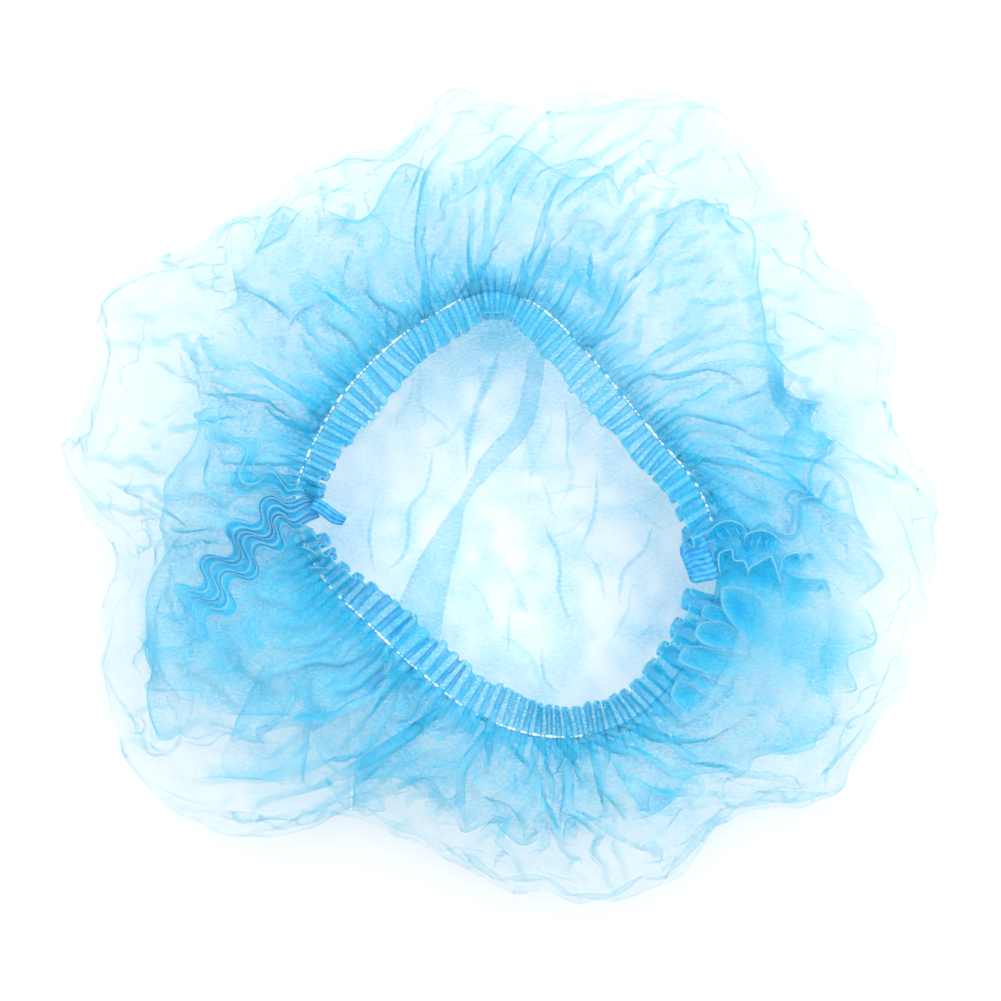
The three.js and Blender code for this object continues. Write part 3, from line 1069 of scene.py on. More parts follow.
def smooth_path(points: Array, count: int) -> Array:
    """A smooth line through some points, sampled at equal lengths.

    Args:
        points: the points that the line goes through, with any number of columns.
        count: how many samples to take.

    Returns:
        The samples.
    """
    ends = np.concatenate([2 * points[:1] - points[1:2], points, 2 * points[-1:] - points[-2:-1]])
    t = np.linspace(0.0, 1.0, 24, endpoint=False)[:, None]
    runs = []
    for a, b, c, d in zip(ends, ends[1:], ends[2:], ends[3:]):
        run = 2 * b + (c - a) * t + (2 * a - 5 * b + 4 * c - d) * t**2
        runs.append(0.5 * (run + (3 * b - a - 3 * c + d) * t**3))
    line = np.concatenate(runs + [points[-1:]])
    walked = walked_along(steps_along(line[:, :2]))
    wanted = np.linspace(0.0, walked[-1], count)
    return np.stack([np.interp(wanted, walked, line[:, k]) for k in range(line.shape[1])], axis=-1)


def sideways(path: Array) -> Array:
    """Unit vectors to the left of a path on the floor plane.

    Args:
        path: the path's points.

    Returns:
        A unit vector of x and y for each point.
    """
    heading = np.gradient(path[:, :2], axis=0)
    heading /= np.linalg.norm(heading, axis=-1, keepdims=True)
    return np.stack([-heading[:, 1], heading[:, 0]], axis=-1)


def tube_around(path: Array, radius: float, sides: int = 8) -> Block:
    """A closed round tube along a path.

    Args:
        path: the path's points in millimetres.
        radius: the tube's radius.
        sides: how many sides it has.

    Returns:
        The tube's points and its lists of faces.
    """
    across = np.column_stack([sideways(path), np.zeros(len(path))])
    up = np.array([0.0, 0.0, 1.0])
    turn = 2 * np.pi * np.arange(sides) / sides
    ring = np.cos(turn)[None, :, None] * across[:, None] + np.sin(turn)[None, :, None] * up
    points = (path[:, None] + radius * ring).reshape(-1, 3)
    count = len(points)
    ids = np.arange(count).reshape(len(path), sides)
    points = np.concatenate([points, path[:1], path[-1:]])
    return points, [grid_faces(ids, True)[:, ::-1], *end_caps(ids, count, count + 1)]


def gathered_blocks(blocks: list[Block]) -> Block:
    """Several closed forms put together as one mesh.

    Args:
        blocks: each form's points and lists of faces.

    Returns:
        The points and lists of faces of them all.
    """
    points, faces, count = [], [], 0
    for block_points, block_faces in blocks:
        points.append(block_points)
        faces.extend(face + count for face in block_faces)
        count += len(block_points)
    return np.concatenate(points), faces


@dataclass
class Hem:
    """One gathered hem, from weld to weld: pleats pressed over one another, either side of the stitches."""

    gathers: Gathers
    ground: HeightMap
    name: str
    start: float
    end: float
    width: float = 15.0
    per_pleat: int = 20
    rows: tuple[float, ...] = (
        -21, -18, -15.5, -13, -11, -9, -7, -5, -3, -1.2, 0.4, 1.8, 3.4, 5.2, 7.4, 9.6, 11.6, 13.2, 14.4, 15.0
    )
    overlap: float = 0.2
    press: float = 1.3
    scallop: float = 0.13
    standing_wave: float = 2.6
    rim_highlight: float = 0.75
    valley_highlight: float = 0.3
    wall: float = 0.3
    seed: int = 31

    def build(self) -> Object:
        """Makes the hem's shell.

        Returns:
            The hem.
        """
        lay = self.gathers.lay(self.per_pleat, even=True)
        rng = np.random.default_rng(self.seed)
        inside = (lay.degrees > self.start) & (lay.degrees < self.end)
        count = inside.sum()
        pleat, u = lay.pleat[inside], lay.phase[inside]
        flat = clamped(Ring(HEM_REACH).reach(lay.degrees[inside]) / self.width)
        rise = np.sqrt(1 - flat**2)
        out = np.array(self.rows)[:, None]
        over, beyond = np.maximum(out, 0.0), np.maximum(-out, 0.0)
        lean, droop, length, tight = (self._varied(rng, lay, inside) for _ in range(4))
        full = clamped(1.0 - (beyond / np.clip(14.0 + 4.5 * length, 6.0, 21.0)) ** 2)
        shift = (0.05 + self.overlap * rise) * full * np.sin(4 * np.pi * u)
        shift = shift * self.gathers.widths[pleat] + 0.1 * lean * np.maximum(over - 3.0, 0.0)
        aside = np.abs(u - 0.5)
        top = 1.0 - 2.0 * hump(0.5 - aside, 0.16)
        wave = self.standing_wave * rise * np.cos(2 * np.pi * u) * over / self.width
        lift = self.press * top * (1 - rise) - wave
        lift = lift * self.gathers.tall[pleat] * full * self.gathers.pinch(out)
        lobe = 1.0 - self.scallop * flat * np.abs(np.cos(np.pi * u)) ** 2.5 * (over / self.width) ** 4
        reach = over * lobe * (1.0 + 0.06 * droop)
        inward, tangent = lay.inward[inside], lay.tangent[inside]
        place = lay.place[inside] + inward * (reach * flat - lift * rise * (over > 0) - beyond)[..., None]
        place = place + tangent * shift[..., None]
        height = self.gathers.height + reach * rise + lift * flat
        near = clamped(1.0 - beyond / 5.0)
        height = near * height + (1 - near) * (self.ground.at(place[..., 0], place[..., 1]) + 1.2 + lift)
        shell, faces = thicken(strip(raised(place, height)), self.wall)
        bunch = np.sqrt(Ring(BUNCHING).reach(lay.degrees[inside]))
        layers = np.interp(out, (-16.0, -8.0, 0.0, 4.0), (0.5, 1.1, 1.7, 2.0))
        valley_from = np.clip(0.28 + 0.07 * tight + 0.004 * out, 0.15, 0.42)
        valley = clamped((aside - valley_from) / 0.07)
        # Darker valley stripes: partly the folded-under walls' layers, partly painted shade in the valleys.
        layers = layers * (0.9 + (1.05 - 0.4 * rise) * valley)
        # Painted highlight: a pale line along the hem's outer edge and along each valley's edge.
        crest = self.rim_highlight * hump(out - self.width, 0.55) * np.ones(count)
        valley_edge = hump(aside - valley_from + 0.03, 0.03)
        crest = np.maximum(crest, self.valley_highlight * full * valley_edge)
        marks = Marks((bunch * layers * full).ravel(), crest.ravel())
        return make_piece(self.name, shell, faces, marks.both_sides())

    def _varied(self, rng: np.random.Generator, lay: Layout, inside: Array) -> Array:
        """Values that differ from pleat to pleat and change smoothly between them.

        Args:
            rng: the source of the values.
            lay: the columns along the elastic line.
            inside: the columns that belong to this hem.

        Returns:
            A value for each of the hem's columns.
        """
        drawn = rng.standard_normal(self.gathers.pleats)
        at = (lay.pleat + lay.phase)[inside]
        return np.interp(at, np.arange(self.gathers.pleats) + 0.5, drawn)[None, :]


class Fan(NamedTuple):
    """One run of accordion pleats: its route, folds, widths, depths, sway and layers."""

    route: Pairs
    folds: int
    tight: float
    opened: float
    depth_near: float
    depth_far: float
    sway: float
    wave: float
    plies_near: float
    plies_far: float


class Frill(NamedTuple):
    """One edge of folded cloth: its path, height, slope to the left, layers and least level."""

    path: Pairs
    height: float
    slope: float
    layers: float = 1.0
    least: float = 0.0


class Petal(NamedTuple):
    """One scoop or facet of folded cloth: its outline, its layers, the strength of the painted highlight on
    its edge, and its rise.
    """

    outline: Pairs
    layers: float
    bright: float
    rise: float = 2.0


@dataclass
class LaidFolds:
    """Folded cloth laid on the crown, as at the web's ends: accordion pleats that sway, edges and petals."""

    name: str
    fans: tuple[Fan, ...]
    frills: tuple[Frill, ...]
    petals: tuple[Petal, ...]
    ground: HeightMap
    least: float = 0.0
    open_end: float = 0.0
    wall: float = 0.3
    fold: tuple[float, ...] = (0.0, 0.035, 0.08, 0.15, 0.25, 0.37, 0.5, 0.63, 0.75, 0.85, 0.92, 0.965)
    step: float = 0.7
    slack: float = 1.45
    clearance: float = 0.8
    edge_clearance: float = 0.6
    crease_highlight: float = 0.85
    crease_width: float = 0.4
    seed: int = 41

    def build(self) -> Object:
        """Makes all the pleats, edges and petals as one piece.

        Returns:
            The folds.
        """
        rng = np.random.default_rng(self.seed)
        made = [self._fan(fan, rng) for fan in self.fans] + [self._frill(frill) for frill in self.frills]
        made += [self._petal(petal) for petal in self.petals]
        points, faces = gathered_blocks([thicken(weave, self.wall) for weave, _ in made])
        sides = [marks.both_sides() for _, marks in made]
        marks = Marks(*(np.concatenate(values) for values in zip(*sides)))
        return make_piece(self.name, points, faces, marks)

    def _fan(self, fan: Fan, rng: np.random.Generator) -> tuple[Weave, Marks]:
        """One run of pleats, whose sharp folds sway together from side to side.

        Args:
            fan: the run's sizes.
            rng: the source of its small differences.

        Returns:
            Its surface and marks.
        """
        path = smooth_path(np.array(fan.route), 400)
        length = self.slack * steps_along(path).sum()
        count = int(length / self.step)
        s = np.linspace(0.0, length, count)
        ease = np.clip(s / (0.15 * length), 0.35, 1.0)
        angle = np.radians(fan.sway) * ease * np.sin(2 * np.pi * s / fan.wave + 0.7 * np.sin(s / 19.0))
        ahead = np.cumsum(np.cos(angle))
        t = ahead / ahead[-1]
        swing = np.cumsum(np.sin(angle)) * (s[1] - s[0])
        swing -= np.polyval(np.polyfit(t, swing, 2), t)
        even = np.linspace(0.0, 1.0, 400)
        middle, left = (np.stack([np.interp(t, even, line[:, k]) for k in range(2)], axis=-1)
                        for line in (path, sideways(path)))
        folds = np.concatenate([k + np.array(self.fold) for k in range(fan.folds)] + [[fan.folds]])
        across = folds / fan.folds - 0.5
        width = fan.tight + (fan.opened - fan.tight) * np.sqrt(t)
        offset = across[None, :] * width[:, None] + (swing * np.clip(6 * t, 0.35, 1.0))[:, None]
        loose = np.sin(s[:, None] / 8.0 + 2.1 * np.arange(fan.folds + 2))
        before = np.floor(folds).astype(int)
        loose = loose[:, before] * (1 - folds + before) + loose[:, before + 1] * (folds - before)
        offset = offset + 0.3 * loose * (width / fan.folds)[:, None]
        place = middle[:, None] + left[:, None] * offset[..., None]
        uneven = np.clip(1 + 0.18 * rng.standard_normal(fan.folds + 1), 0.6, 1.4)
        depth = fan.depth_near + (fan.depth_far - fan.depth_near) * t
        depth = depth[:, None] * np.interp(folds, np.arange(fan.folds + 1), uneven)[None, :]
        ridge = 1.0 - np.abs(np.sin(np.pi * folds)) ** 0.8
        ground = self.ground.at(place[..., 0], place[..., 1])
        height = ground + self.clearance + depth * ridge
        fade = clamped((1 - t) / 0.25)[:, None]
        side = clamped((0.5 - np.abs(across)) * fan.folds / 0.35)[None, :]
        layers = (fan.plies_near + (fan.plies_far - fan.plies_near) * t)[:, None]
        # Valleys between folds are darker: partly more layers seen, partly painted shade.
        plies_and_shade = layers * fade * (0.08 + 0.92 * side) * (0.35 + 0.65 * (1 - ridge))
        # Painted highlight: a pale line along each fold.
        apart = np.abs(folds - np.round(folds))[None, :] * (width / fan.folds)[:, None]
        crest = self.crease_highlight * fade * hump(apart, self.crease_width)
        return strip(raised(place, height)), Marks(plies_and_shade.ravel(), crest.ravel())

    def _frill(self, frill: Frill) -> tuple[Weave, Marks]:
        """One fold's edge and the cloth that slopes down from it.

        Args:
            frill: the frill's path, height and slope.

        Returns:
            Its surface and marks.
        """
        corners = np.array(frill.path)
        length = steps_along(corners).sum()
        count = max(12, int(length / self.step))
        path = smooth_path(corners, count)
        left = sideways(path)
        ends = tapered(count, 6.0, 0.3)
        up = np.array((0.0, 0.2, 0.4, 0.6, 0.8, 0.93, 1.0))
        spread = frill.slope * (1.0 - up)
        place = path[:, None] + left[:, None] * spread[None, :, None]
        ground = np.maximum(self.ground.at(place[..., 0], place[..., 1]), frill.least)
        height = ground + self.edge_clearance + (ends * frill.height)[:, None] * up[None, :] ** 1.4
        # The sloping cloth is darker: partly its layers, partly painted shade below the fold's edge.
        plies_and_shade = np.tile(np.interp(up, (0.0, 0.5, 0.9, 1.0), (0.0, 2.4, 2.4, 0.8)), (count, 1))
        plies_and_shade *= frill.layers * ends[:, None]
        # Painted highlight along the fold's top edge.
        bright = clamped((up - 0.85) / 0.15)[None, :]
        crest = ends[:, None] * bright * min(1.0, 0.35 + 0.65 * frill.layers)
        return strip(raised(place, height)), Marks(plies_and_shade.ravel(), crest.ravel())

    def _petal(self, petal: Petal, count: int = 64) -> tuple[Weave, Marks]:
        """One scoop of cloth, its rim raised with a painted highlight along it, and its middle darker: partly
        more layers, partly painted shade.

        Args:
            petal: the petal's sizes.
            count: how many points its rim has.

        Returns:
            Its surface and marks.
        """
        corners = np.array(petal.outline + petal.outline[:3])
        rim = smooth_path(corners, 3 * count)
        rim = rim[: np.argmin(np.linalg.norm(rim[count:] - rim[0], axis=-1)) + count]
        rim = rim[np.linspace(0, len(rim), count, endpoint=False).astype(int)]
        centre = rim.mean(axis=0)
        scale = np.array((1.0, 0.96, 0.91, 0.85, 0.75, 0.6, 0.42, 0.22))
        place = centre + scale[:, None, None] * (rim - centre)
        place = np.concatenate([place.reshape(-1, 2), centre[None]])
        share = np.concatenate([np.repeat(scale, count), [0.0]])
        ground = np.maximum(self.ground.at(place[:, 0], place[:, 1]), self.least)
        points = np.column_stack([place, ground + self.clearance + petal.rise * share**3])
        ids = np.arange(len(scale) * count).reshape(len(scale), count)
        last = ids[-1]
        fan = np.stack([last, np.full(count, len(points) - 1), np.roll(last, -1)], axis=-1)
        turned = np.sum(rim[:, 0] * np.roll(rim[:, 1], -1) - rim[:, 1] * np.roll(rim[:, 0], -1)) > 0
        faces = [grid_faces(ids, True), fan] if not turned else [grid_faces(ids, True)[:, ::-1], fan[:, ::-1]]
        at_rim = 0.2 * min(1.0, petal.bright * 2)
        # The middle is darker, partly layers and partly painted shade; the rim gets a painted highlight.
        plies_and_shade = petal.layers * np.interp(share, (0.0, 0.35, 0.7, 0.9, 1.0), (1.6, 1.3, 0.6, 0.3, at_rim))
        crest = petal.bright * np.interp(share, (0.4, 0.7, 0.88, 0.96, 1.0), (0.0, 0.14, 0.45, 1.0, 0.9))
        outward = (place - np.array(MOUTH_CENTRE)) @ (centre - np.array(MOUTH_CENTRE))
        along = (outward - outward.min()) / np.ptp(outward)
        fade = 1.0 - self.open_end * np.interp(along, (0.3, 0.65, 1.0), (0.0, 0.6, 1.0))
        return Weave(points, faces), Marks(plies_and_shade * fade, crest * fade)


@dataclass
class WeldTab:
    """The pressed and welded end of the folded web: a ribbed tab that points into the mouth."""

    name: str
    start: tuple[float, float]
    turn: float
    middle: float
    run: float
    stack: float
    height: float
    ribs: int
    per_rib: int = 10
    rib: float = 0.9
    bend: float = 0.35
    lead: float = 0.3
    slices: int = 13

    def build(self) -> Object:
        """Makes the tab, its folds showing as round ribs.

        Returns:
            The tab.
        """
        u = np.linspace(0.0, 1.0, self.ribs * self.per_rib + 1)
        ridge = np.abs(np.sin(np.pi * u * self.ribs)) ** 0.6
        end = np.sqrt(clamped(1 - (2 * u - 1) ** 12))
        top = (self.height / 2 - self.rib + self.rib * ridge) * (0.6 + 0.4 * end)
        side = (u - 0.5) * self.stack
        loop = np.concatenate([np.column_stack([side, top]), np.column_stack([side, -top])[::-1]])
        along = np.linspace(0.0, self.run, self.slices)
        swell = np.sqrt(1.0 - 0.85 * (along / self.run) ** 8)
        bend = self.bend * np.sin(2.2 * np.pi * along / self.run)
        rings = []
        for out, aside, size in zip(along, bend, swell):
            reach = np.full(len(loop), out + self.lead)
            rings.append(np.column_stack([reach, loop[:, 0] * (0.5 + 0.5 * size) + aside, loop[:, 1] * size]))
        a = math.radians(self.turn)
        turned = np.array([[math.cos(a), math.sin(a), 0], [-math.sin(a), math.cos(a), 0], [0, 0, 1]])
        points = np.concatenate(rings) @ turned + np.array([*self.start, self.middle])
        count = len(points)
        ids = np.arange(count).reshape(len(along), -1)
        tips = [points[ids[end]].mean(axis=0)[None] for end in (0, -1)]
        faces = [grid_faces(ids, True), *end_caps(ids, count, count + 1)]
        return make_piece(self.name, np.concatenate([points, *tips]), faces)


@dataclass
class Elastic:
    """One elastic thread along a hem, with the white stitches that hold it."""

    gathers: Gathers
    side: str
    start: float
    end: float
    radius: float = 0.5
    stitch_gap: float = 1.9
    stitch_length: float = 1.9
    stitch_thick: float = 1.1
    stitch_lift: float = 1.1
    thread_drop: float = 1.2
    per_pleat: int = 7
    folded_over: Pairs = ((82.5, 102.0), (290.0, 334.0))

    def path(self, lift: float) -> Array:
        """The thread's line, over the pleats at the stitches.

        Args:
            lift: height over the cloth.

        Returns:
            Points in millimetres.
        """
        lay = self.gathers.lay(self.per_pleat)
        inside = (lay.degrees > self.start) & (lay.degrees < self.end)
        height = self.gathers.height + 0.4 * self.gathers.pinch(0.0) * lay.lift[inside] + lift
        return np.column_stack([lay.place[inside], height])

    def build_thread(self) -> Object:
        """Makes the thread, running level under the pleats' tops.

        Returns:
            The thread.
        """
        path = self.path(0.0)
        path[:, 2] = self.gathers.height - self.thread_drop
        points, faces = tube_around(smooth_path(path[::5], 260), self.radius)
        return make_piece(f"elastic_thread_{self.side}", points, faces)

    def build_stitches(self, finish: Material) -> Object:
        """Makes the stitches along the thread.

        Args:
            finish: the thread's material.

        Returns:
            The stitches.
        """
        path = self.path(self.stitch_lift)
        degrees = np.degrees(np.arctan2(path[:, 1], path[:, 0])) % TURN
        shown = ~np.any([(degrees > first) & (degrees < last) for first, last in self.folded_over], axis=0)
        mesh = bpy.data.meshes.new(f"stitch_line_{self.side}")
        mesh.from_pydata((path * MM).tolist(), [(k, k + 1) for k in range(len(path) - 1) if shown[k]], [])
        line = placed(f"stitch_line_{self.side}", mesh)
        tree = self._stitch_tree(finish)
        sizes = {"Gap": self.stitch_gap, "Length": self.stitch_length, "Thickness": self.stitch_thick}
        modifier = line.modifiers.new("stitches", "NODES")
        modifier.node_group = tree
        for item in tree.interface.items_tree:
            if item.item_type == "SOCKET" and item.in_out == "INPUT" and item.name in sizes:
                modifier[item.identifier] = sizes[item.name] * MM
        bpy.context.view_layer.update()
        seen = line.evaluated_get(bpy.context.evaluated_depsgraph_get())
        made = bpy.data.meshes.new_from_object(seen)
        made.name = f"stitches_{self.side}"
        line.modifiers.remove(modifier)
        bpy.data.objects.remove(line)
        return placed(f"stitches_{self.side}", made)

    @staticmethod
    def _stitch_tree(finish: Material) -> NodeTree:
        """A node tree that sets small rounded stitches along a line.

        Args:
            finish: the stitches' material.

        Returns:
            The tree.
        """
        tree = bpy.data.node_groups.new("stitches_along_line", "GeometryNodeTree")
        tree.interface.new_socket("Geometry", in_out="INPUT", socket_type="NodeSocketGeometry")
        for name in ("Gap", "Length", "Thickness"):
            tree.interface.new_socket(name, in_out="INPUT", socket_type="NodeSocketFloat")
        tree.interface.new_socket("Geometry", in_out="OUTPUT", socket_type="NodeSocketGeometry")
        node, link = tree.nodes.new, tree.links.new
        entry, leave = node("NodeGroupInput"), node("NodeGroupOutput")
        curve = node("GeometryNodeMeshToCurve")
        link(entry.outputs["Geometry"], curve.inputs["Mesh"])
        spaced = node("GeometryNodeResampleCurve")
        spaced.mode = "LENGTH"
        link(curve.outputs["Curve"], spaced.inputs["Curve"])
        link(entry.outputs["Gap"], spaced.inputs["Length"])
        bead = node("GeometryNodeMeshUVSphere")
        set_inputs(bead, {"Segments": 8, "Rings": 6, "Radius": 0.5})
        heading = node("GeometryNodeInputTangent")
        turn = node("FunctionNodeAlignRotationToVector")
        turn.axis = "X"
        link(heading.outputs["Tangent"], turn.inputs["Vector"])
        vary = node("FunctionNodeRandomValue")
        vary.data_type = "FLOAT"
        set_inputs(vary, {"Min": 0.45, "Max": 1.3, "Seed": 7})
        size = node("ShaderNodeCombineXYZ")
        for measure, axes in (("Length", "X"), ("Thickness", "YZ")):
            varied = node("ShaderNodeMath")
            varied.operation = "MULTIPLY"
            link(entry.outputs[measure], varied.inputs[0])
            link(vary.outputs[1], varied.inputs[1])
            for axis in axes:
                link(varied.outputs["Value"], size.inputs[axis])
        keep = node("FunctionNodeRandomValue")
        keep.data_type = "BOOLEAN"
        set_inputs(keep, {"Probability": 0.82, "Seed": 3})
        beads = node("GeometryNodeInstanceOnPoints")
        link(keep.outputs[3], beads.inputs["Selection"])
        link(spaced.outputs["Curve"], beads.inputs["Points"])
        link(bead.outputs["Mesh"], beads.inputs["Instance"])
        link(turn.outputs["Rotation"], beads.inputs["Rotation"])
        link(size.outputs["Vector"], beads.inputs["Scale"])
        real = node("GeometryNodeRealizeInstances")
        link(beads.outputs["Instances"], real.inputs["Geometry"])
        coat = node("GeometryNodeSetMaterial")
        coat.inputs["Material"].default_value = finish
        link(real.outputs["Geometry"], coat.inputs["Geometry"])
        link(coat.outputs["Geometry"], leave.inputs["Geometry"])
        return tree


@dataclass
class BaseCreases:
    """Pinched creases and a folded tuck that lie on the base, seen through the mouth."""

    crown: Crown
    fine: int = 20
    traced_layers: float = 0.95
    fine_layers: float = 0.45
    tuck_layers: float = 0.8
    lane_layers: tuple[float, ...] = (0.1, 0.8, 1.2, 0.8, 0.1)
    wall: float = 0.25
    seed: int = 51

    def build(self) -> Object:
        """Makes each crease as a thin folded band of the base's own cloth.

        Returns:
            The creases.
        """
        rng = np.random.default_rng(self.seed)
        blocks = [self._band(np.array(crease.points), rng) for crease in CREASES]
        blocks += [self._band(self._wander(rng), rng) for _ in range(self.fine)]
        points, faces = gathered_blocks(blocks)
        traced = sum(len(block[0]) for block in blocks[:len(CREASES)])
        plies_and_shade = np.where(np.arange(len(points)) < traced, self.traced_layers, self.fine_layers)
        plies_and_shade = plies_and_shade * np.tile(self.lane_layers, len(points) // len(self.lane_layers))
        plies_and_shade[:len(blocks[0][0])] = self.tuck_layers
        return make_piece("base_creases", points, faces, Marks(plies_and_shade, np.zeros(len(points))))

    @staticmethod
    def _wander(rng: np.random.Generator) -> Array:
        """A fine crease that wanders over the base, more up and down than across.

        Args:
            rng: the source of its place and way.

        Returns:
            Rows of x, y and width.
        """
        heading = rng.choice((-1.0, 1.0)) * np.pi / 2 + 0.5 * rng.standard_normal()
        heading = heading + np.cumsum(0.25 * rng.standard_normal(6))
        start = 75.0 * np.sqrt(rng.uniform()) * np.exp(2j * np.pi * rng.uniform()) - 10j
        line = start + np.cumsum(rng.uniform(3.0, 6.0) * np.exp(1j * heading))
        return np.column_stack([line.real, line.imag, rng.uniform(0.6, 1.6, 6)])

    def _band(self, points: Array, rng: np.random.Generator) -> Block:
        """One band along its points, with slightly uneven edges.

        Args:
            points: rows of x, y and width.
            rng: the source of the unevenness.

        Returns:
            The band's points and lists of faces.
        """
        length = steps_along(points[:, :2]).sum()
        count = max(8, int(length / 1.5))
        path = smooth_path(points, count)
        wander = np.cumsum(rng.standard_normal((count, 2)), axis=0)
        wander -= np.linspace(0, 1, count)[:, None] * wander[-1]
        path[:, :2] += 0.12 * wander
        taper = tapered(count, 4.0, 0.25)
        half = np.maximum(path[:, 2], 0.3) * np.where(path[:, 2] < 2.0, 2.2, 1.0) * taper / 2
        left = sideways(path)
        lanes = np.linspace(-1.0, 1.0, len(self.lane_layers))
        place = path[:, None, :2] + left[:, None] * (half[:, None] * lanes)[..., None]
        height = self.crown.base_height(place[..., 0], place[..., 1]) + 0.5
        height = height + 0.35 * (1 - lanes**2) * np.minimum(half, 1.0)[:, None]
        return thicken(strip(raised(place, height)), self.wall)


@dataclass
class CrownCreases:
    """Pinched creases that wander over the crown's top cloth, most of them towards its outline."""

    crown: Crown
    count: int = 150
    points_each: tuple[float, float] = (9, 28)
    half_widths: tuple[float, float] = (0.5, 1.9)
    starts: tuple[float, float] = (0.42, 0.96)
    lane_layers: tuple[float, ...] = (0.0, 0.9, 0.0)
    step: float = 1.4
    wall: float = 0.15
    seed: int = 61

    def build(self) -> Object:
        """Makes the creases as thin ridges that follow the settled cloth.

        Returns:
            The creases.
        """
        rng = np.random.default_rng(self.seed)
        blocks = [thicken(self._ridge(rng), self.wall) for _ in range(self.count)]
        points, faces = gathered_blocks(blocks)
        plies_and_shade = np.tile(self.lane_layers, len(points) // len(self.lane_layers))
        marks = Marks(plies_and_shade, np.zeros(len(points)))
        return make_piece("crown_creases", points, faces, marks)

    def _ridge(self, rng: np.random.Generator) -> Weave:
        """One crease, walked over the cloth from a random place and heading.

        Args:
            rng: the source of its place, heading and length.

        Returns:
            Its surface.
        """
        rows, columns, _ = self.crown.top.shape
        count = int(rng.uniform(*self.points_each))
        heading = rng.uniform(0, 2 * np.pi) + np.cumsum(0.3 * rng.standard_normal(count))
        row = rng.uniform(*self.starts) * rows + np.cumsum(np.cos(heading)) * self.step / 2.2
        column = rng.uniform(0, columns) + np.cumsum(np.sin(heading)) * self.step / 1.8
        row = np.clip(row, 4.0, rows - 1.6)
        path = self._on_cloth(row, column)
        ahead = np.gradient(path, axis=0)
        beside = self._on_cloth(row, column + 1.0) - path
        over = self._on_cloth(np.clip(row + 1.0, 0, rows - 1.01), column) - path
        normal = np.cross(over, beside)
        normal /= np.maximum(np.linalg.norm(normal, axis=-1, keepdims=True), 1e-6)
        side = np.cross(normal, ahead)
        side /= np.maximum(np.linalg.norm(side, axis=-1, keepdims=True), 1e-6)
        half = rng.uniform(*self.half_widths) * tapered(count, 4.0, 0.2)
        lanes = np.linspace(-1.0, 1.0, len(self.lane_layers))
        lift = 0.35 + 0.25 * (1 - np.abs(lanes))
        grid = path[:, None] + side[:, None] * (half[:, None] * lanes)[..., None]
        grid = grid + normal[:, None] * lift[None, :, None]
        return strip(grid)

    def _on_cloth(self, row: Array, column: Array) -> Array:
        """Places on the settled cloth.

        Args:
            row: rows, with fractions.
            column: columns, with fractions, any number of turns.

        Returns:
            Points in millimetres.
        """
        top = self.crown.top
        i, j = np.floor(row).astype(int), np.floor(column).astype(int)
        s, t = (row - i)[:, None], (column - j)[:, None]
        i, j, k = np.clip(i, 0, len(top) - 2), j % top.shape[1], (j + 1) % top.shape[1]
        near = top[i, j] * (1 - s) + top[i + 1, j] * s
        far = top[i, k] * (1 - s) + top[i + 1, k] * s
        return near * (1 - t) + far * t


# Fold edges and petals, as read: x and y in millimetres, then sizes in their class's order.
CROWN_FOLDS = (
    Frill(((99.4, 92.1), (98.7, 81.7), (101.2, 67.7), (101.9, 58.7), (107.1, 49.7), (108.1, 41.3),
           (112.7, 37.8), (121, 36.1), (118.9, 30.1), (119.6, 25.9), (123.1, 23.2), (128, 21.1),
           (124.5, 18.3), (119.5, 14.8)), 2.5, -8.0, 0.4),
    Frill(((101.5, 46.8), (102.9, 39.9), (106.4, 32.9), (110.6, 26.7), (107.8, 22.4), (107.4, 14.8)),
           2.5, 6.0, 0.5),
    Frill(((41.1, -99.1), (47.4, -110.6), (53.6, -119.5), (57.1, -120.3), (56.4, -116), (60.6, -109)),
           2.0, 6.0, 0.35),
    Frill(((-37.5, -104.3), (-35.4, -107.1), (-27.1, -107.9), (-20.9, -115.4), (-16.6, -112.5),
           (-13.8, -112.5)), 2.0, -6.0, 0.35),
    Frill(((-8.4, -128.1), (-2.1, -122.3), (2.1, -123), (4.9, -121.7)), 2.0, -5.0, 0.3),
    Frill(((23.1, -133.6), (24.4, -124.5), (27.9, -121.7), (30.6, -123), (33, -125.2)), 2.0, -6.0, 0.3),
    Frill(((-95.4, -31.7), (-91.1, -42.2), (-93.9, -51.9), (-87.6, -58.9)), 2.0, -7.0, 0.3),
    Frill(((-89.9, -63), (-96.1, -74.3), (-100.8, -84), (-103.5, -91.1)), 2.0, 7.0, 0.35),
    Frill(((-82.9, -65.7), (-77.8, -73.5), (-79.4, -80.5), (-86.4, -87.6), (-91.8, -91.5)),
           2.0, -7.0, 0.35),
    Frill(((-140.6, -54.8), (-135.7, -58.9), (-134.4, -66.5), (-136.7, -75.5), (-135.7, -84),
           (-131.6, -94.4)), 2.0, 7.0, 0.3),
    Frill(((-72, -82.5), (-73.7, -94.4), (-75.9, -109.8)), 2.0, -7.0, 0.3),
    Frill(((-49.3, -90.9), (-55.6, -104.7), (-57.7, -121.5)), 2.0, 7.0, 0.35),
    Frill(((-115.6, -109), (-107.8, -108.2), (-88.3, -109), (-83.5, -110.9)), 1.5, 6.0, 0.25),
)
